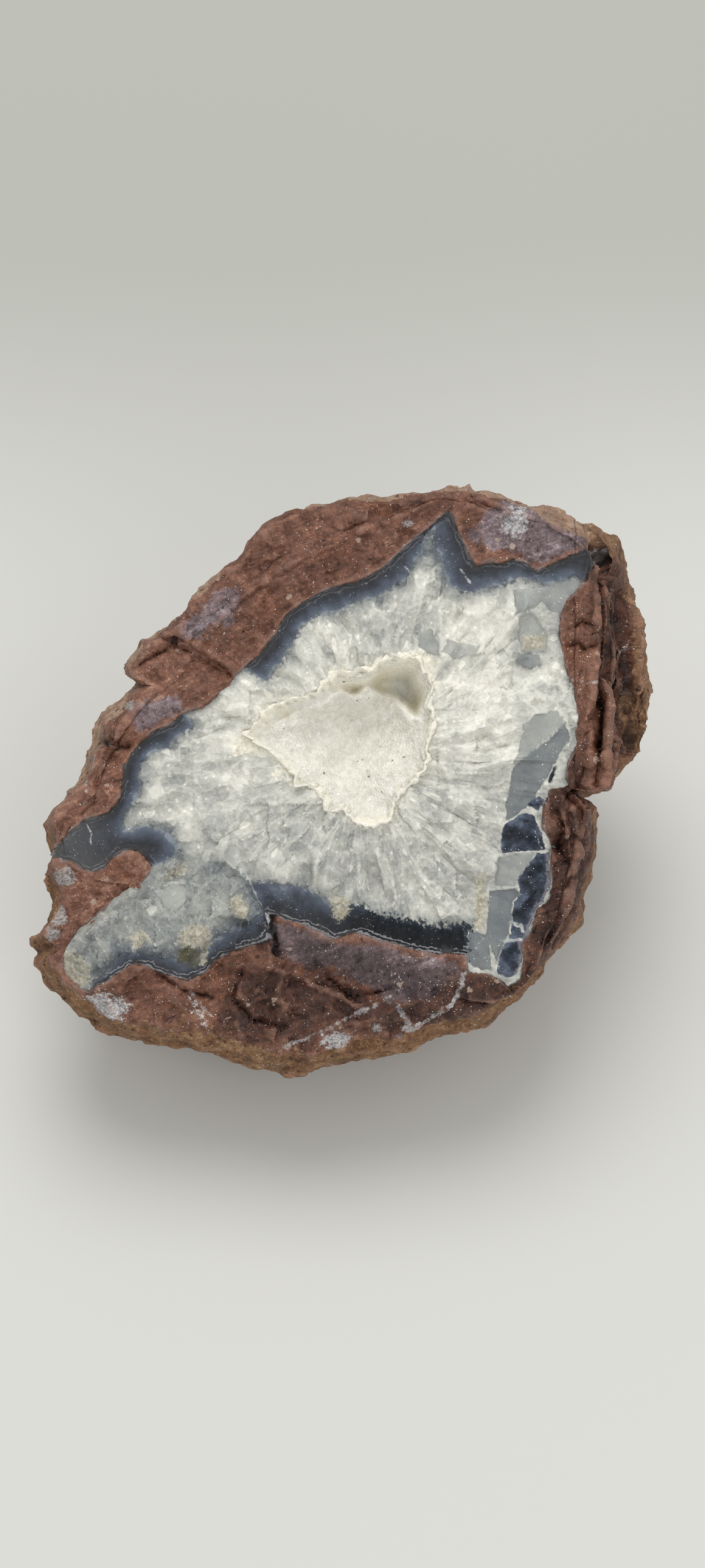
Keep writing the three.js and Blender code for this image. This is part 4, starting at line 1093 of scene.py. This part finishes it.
def filling_piece():
    points, tri = finely("nodule", filling_reach, 4, 62)
    normals = even_normals(points, tri)
    middle = points[tri].mean(1)
    facing = (normals[tri, 2].mean(1) > TURNED_AWAY) & (middle[:, 2] > FACE_FLOOR)
    used, tri = np.unique(biggest_patch(tri[facing & (depth_inside(middle[:, :2], FILLING) > -0.7)]),
                          return_inverse=True)
    tri = tri.reshape(-1, 3)
    points, normals = points[used], normals[used]
    flat = points[:, :2]
    x, y = flat.T
    drawn = wandered(flat)
    filling, quartz = depth_inside(drawn, FILLING), depth_inside(drawn, QUARTZ)
    shard_depths = np.stack([depth_inside(drawn, polygon) for _, polygon in SHARDS])
    shard = shard_depths.max(0)
    rim, chunk = -depth_inside(flat, RIM), depth_inside(flat, CHUNK)
    bright, dull = depth_in_any(flat, BRIGHT), depth_in_any(flat, DULL)
    direction, reach = heart_frame(flat)

    # Relief: crystals, smooth agate, the hollow's wall, the seam with the rock and the chunk's cliff
    is_quartz = smooth_step(quartz, -0.3, 0.4)
    calm = 1 - 0.92 * smooth_step(shard, -0.2, 0.3)
    faceted, facet_tone, edge = crystal_relief(flat, np.column_stack([direction * 18, reach * 0.6]))
    agate_relief = 0.12 * noise(points, 2.4, 101) + 0.06 * noise(points, 0.8, 102) - 0.1
    lift = is_quartz * faceted * calm + (1 - is_quartz) * agate_relief
    wall = smooth_step(-normals[:, 2], -0.8, -0.4) * smooth_step(-rim, -2.0, -1.5)
    lift = lift * (1 - wall) * smooth_step(rim, -0.3, 0.3) + GAP_FILL * wall
    lift -= SEAT_DEPTH * (1 - smooth_step(filling, -0.5, -0.02))
    cliff = smooth_step(x, -21, -17) * (1 - smooth_step(-y, 30, 33))
    lift += CHUNK_RISE * cliff * smooth_step(chunk, -0.1, 0.25) * (1 - smooth_step(chunk, 2, 5))
    shaped = points + normals * lift[:, None]

    # Brightness of the quartz, with the chunk darker: crisply at its cliff and softly elsewhere
    on_chunk = smooth_step(chunk, -1.5, 3) * (1 - cliff) + smooth_step(chunk, -0.1, 0.3) * cliff
    tone = 0.655 + 0.16 * smooth_step(bright, -4, 4) - 0.12 * smooth_step(dull, -3, 5)
    tone -= 0.30 * (1 - smooth_step(quartz, 0, 2.6)) + 0.34 * on_chunk
    tone += 0.04 * (1 - smooth_step(rim, 0.5, 3.5)) + 0.05 * noise(flat, 5, 111)
    tone -= 0.22 * smooth_step(y, 31, 38)
    tone += 0.16 * (facet_tone - 0.5) + 0.10 * edge
    values = {
        "rim": rim, "filling": filling, "quartz": quartz, "shard": shard, "tone": tone,
        "shard_tone": np.array([grey for grey, _ in SHARDS])[np.argmax(shard_depths, axis=0)],
        "window": depth_in_any(drawn, WINDOWS), "cream": depth_in_any(flat, CREAM),
        "green": depth_in_any(flat, GREEN), "fibrous": smooth_step(dull, -6, 4),
        "murk": smooth_step(chunk, 0, 3) * smooth_step(-filling, -6, -1),
        "night": smooth_step(x, -9, 6) * smooth_step(-y, 10, 14),
        "flake": depth_in_veins(drawn, FLAKES), "low": smooth_step(-y, 12, 16),
        "lobe": smooth_step(-x, 35, 45) * smooth_step(-y, 3, 8),
    }

    # The underside is hidden in the rock
    shaped, tri = closed_below(shaped, tri)
    extra = len(shaped) - len(points)
    values = {key: np.concatenate([data, np.full(extra, data.min())]) for key, data in values.items()}
    values["face_mm"] = shaped
    values["from_heart"] = np.concatenate([np.column_stack([direction * 14, reach * 0.3]), np.zeros((extra, 3))])
    piece = made_piece("nodule_filling", shaped, tri, filling_material(), values)
    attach(piece, "root")
    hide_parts("nodule")


# The crust of the hollow: its floor is banked up at the foot of the wall, all along
# the lower side, and its lip spreads over the quartz
BANK_TOP, BANK_ROUNDS = -0.8, 9
OPEN_WALL = (-9, -6)
LIP_SPREAD, LEAST_SPREAD = 0.9, 0.4
POCKET = (663, 1128)
ALL_SOFT = 180


def crust_piece():
    points, tri = finely("druse_crust", crust_reach, 3, ALL_SOFT)
    normals = even_normals(points, tri)
    flat = points[:, :2]
    direction, _ = heart_frame(flat)
    rim = depth_inside(flat, RIM)
    inward = -(normals[:, :2] * direction).sum(1)
    up = np.maximum(smooth_step(normals[:, 2], -0.1, 0.3), smooth_step(inward, 0.1, 0.5))
    lip = smooth_step(points[:, 2], -1.6, -0.2)
    floor = smooth_step(depth_inside(wandered(flat), FLOOR), -0.4, 0.8)
    floor = np.maximum(floor, smooth_step(-flat[:, 1], *OPEN_WALL))
    bank = BANK_TOP + (points[:, 2] - BANK_TOP) * smooth_step(rim, 0.3, 8.0)
    points[:, 2] += up * floor * (1 - lip) * np.maximum(bank - points[:, 2], 0)
    eased = relax(points, tri, NO_EDGES, 0.5, BANK_ROUNDS)
    points[:, 2] += (1 - lip) * (eased[:, 2] - points[:, 2])
    mounds = 0.8 * (chips(flat, 5.5, 205, 0.3, -0.6)[0] + 1) * smooth_step(rim, 1.0, 4.5)
    small = 0.16 * noise(flat, 2.4, 201) + 0.25 * chips(flat, 1.1, 211, 0.5, -0.5)[0]
    frill = 0.7 + 0.5 * noise(flat, 1.3, 231)
    points[:, 2] += up * ((1 - lip) * (small + floor * mounds) + lip * frill)
    spread = LIP_SPREAD + 1.3 * np.abs(noise(flat, 1.8, 241)) + 0.7 * noise(flat, 0.8, 242)
    points[:, :2] += direction * (lip * np.maximum(spread, LEAST_SPREAD))[:, None]
    pocket = np.linalg.norm(flat - on_face(POCKET), axis=1)
    points = relax(points, tri, NO_EDGES, 0.5, 2)
    # The wall and the deep pocket get painted light in the crust's material, lighter against the shade that falls
    # in them
    piece = made_piece("hollow_druse", points, tri, druse_material(), {
        "lip": lip, "wall": (1 - floor) * smooth_step(-points[:, 2], 0.3, 1.5),
        "painted_shading": 1 - smooth_step(pocket, 1.0, 4.0), "face_mm": points,
    })
    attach(piece, "root")
    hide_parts("druse_crust")


# Floor, light and camera, in metres and watts. The floor's colour darkens from near to far as painted shade
FLOOR_REACH = 3.0
FLOOR_NEAR, FLOOR_FAR = (209, 209, 205), (176, 177, 170)
FLOOR_TURN = (0.05, 0.155)
WORLD_STRENGTH = 0.66
LIGHT_AIM = Vector((0, 0, 0.04))
LIGHTS = [
    ("key_light", (-0.07, 0.42, 0.95), 0.7, 5.4, (1, 1, 0.98)),
    ("fill_light", (0.3, -0.65, 0.65), 0.7, 2.0, (1, 1, 1)),
]


def studio():
    mesh = bpy.data.meshes.new("floor")
    corners = [(FLOOR_REACH * x, FLOOR_REACH * y, 0) for x, y in ((-1, -1), (1, -1), (1, 1), (-1, 1))]
    mesh.from_pydata(corners, [], [(0, 1, 2, 3)])
    linked("floor", mesh)
    s = Shader("floor")
    # Painted shade: the floor's colour darkens towards the back
    far = s.node("SeparateXYZ", {0: s.node("TexCoord", {}, "Object")}, 1)
    s.look = s.blend(s.step(far, *FLOOR_TURN), srgb(*FLOOR_NEAR), srgb(*FLOOR_FAR))
    mesh.materials.append(s.finished(Roughness=0.9, Specular_IOR_Level=0.1))

    world = bpy.data.worlds.new("studio")
    world.use_nodes = True
    sky = world.node_tree.nodes["Background"]
    sky.inputs[0].default_value = srgb(250, 250, 250)
    sky.inputs[1].default_value = WORLD_STRENGTH
    bpy.context.scene.world = world
    for name, place, size, watts, colour in LIGHTS:
        lamp = bpy.data.lights.new(name, "AREA")
        lamp.shape, lamp.size, lamp.energy, lamp.color = "DISK", size, watts, colour
        light = linked(name, lamp)
        light.location = place
        light.rotation_mode = "QUATERNION"
        light.rotation_quaternion = (LIGHT_AIM - Vector(place)).to_track_quat("-Z", "Y")

    camera = bpy.data.cameras.new("camera")
    camera.sensor_width = SENSOR
    camera.lens = SENSOR * CAMERA_DISTANCE * PX_PER_MM / PX_HEIGHT
    camera.clip_start, camera.clip_end = 0.01, 20
    viewer = linked("camera", camera)
    place = in_place(np.array([*on_face(PX_MIDDLE), CAMERA_DISTANCE])) * MM
    viewer.matrix_world = Matrix.Translation(Vector(place)) @ Matrix(FACE_AXES.T.tolist()).to_4x4()
    bpy.context.scene.camera = viewer
    bpy.context.scene.view_settings.view_transform = "Standard"


rock_piece()
filling_piece()
crust_piece()
studio()
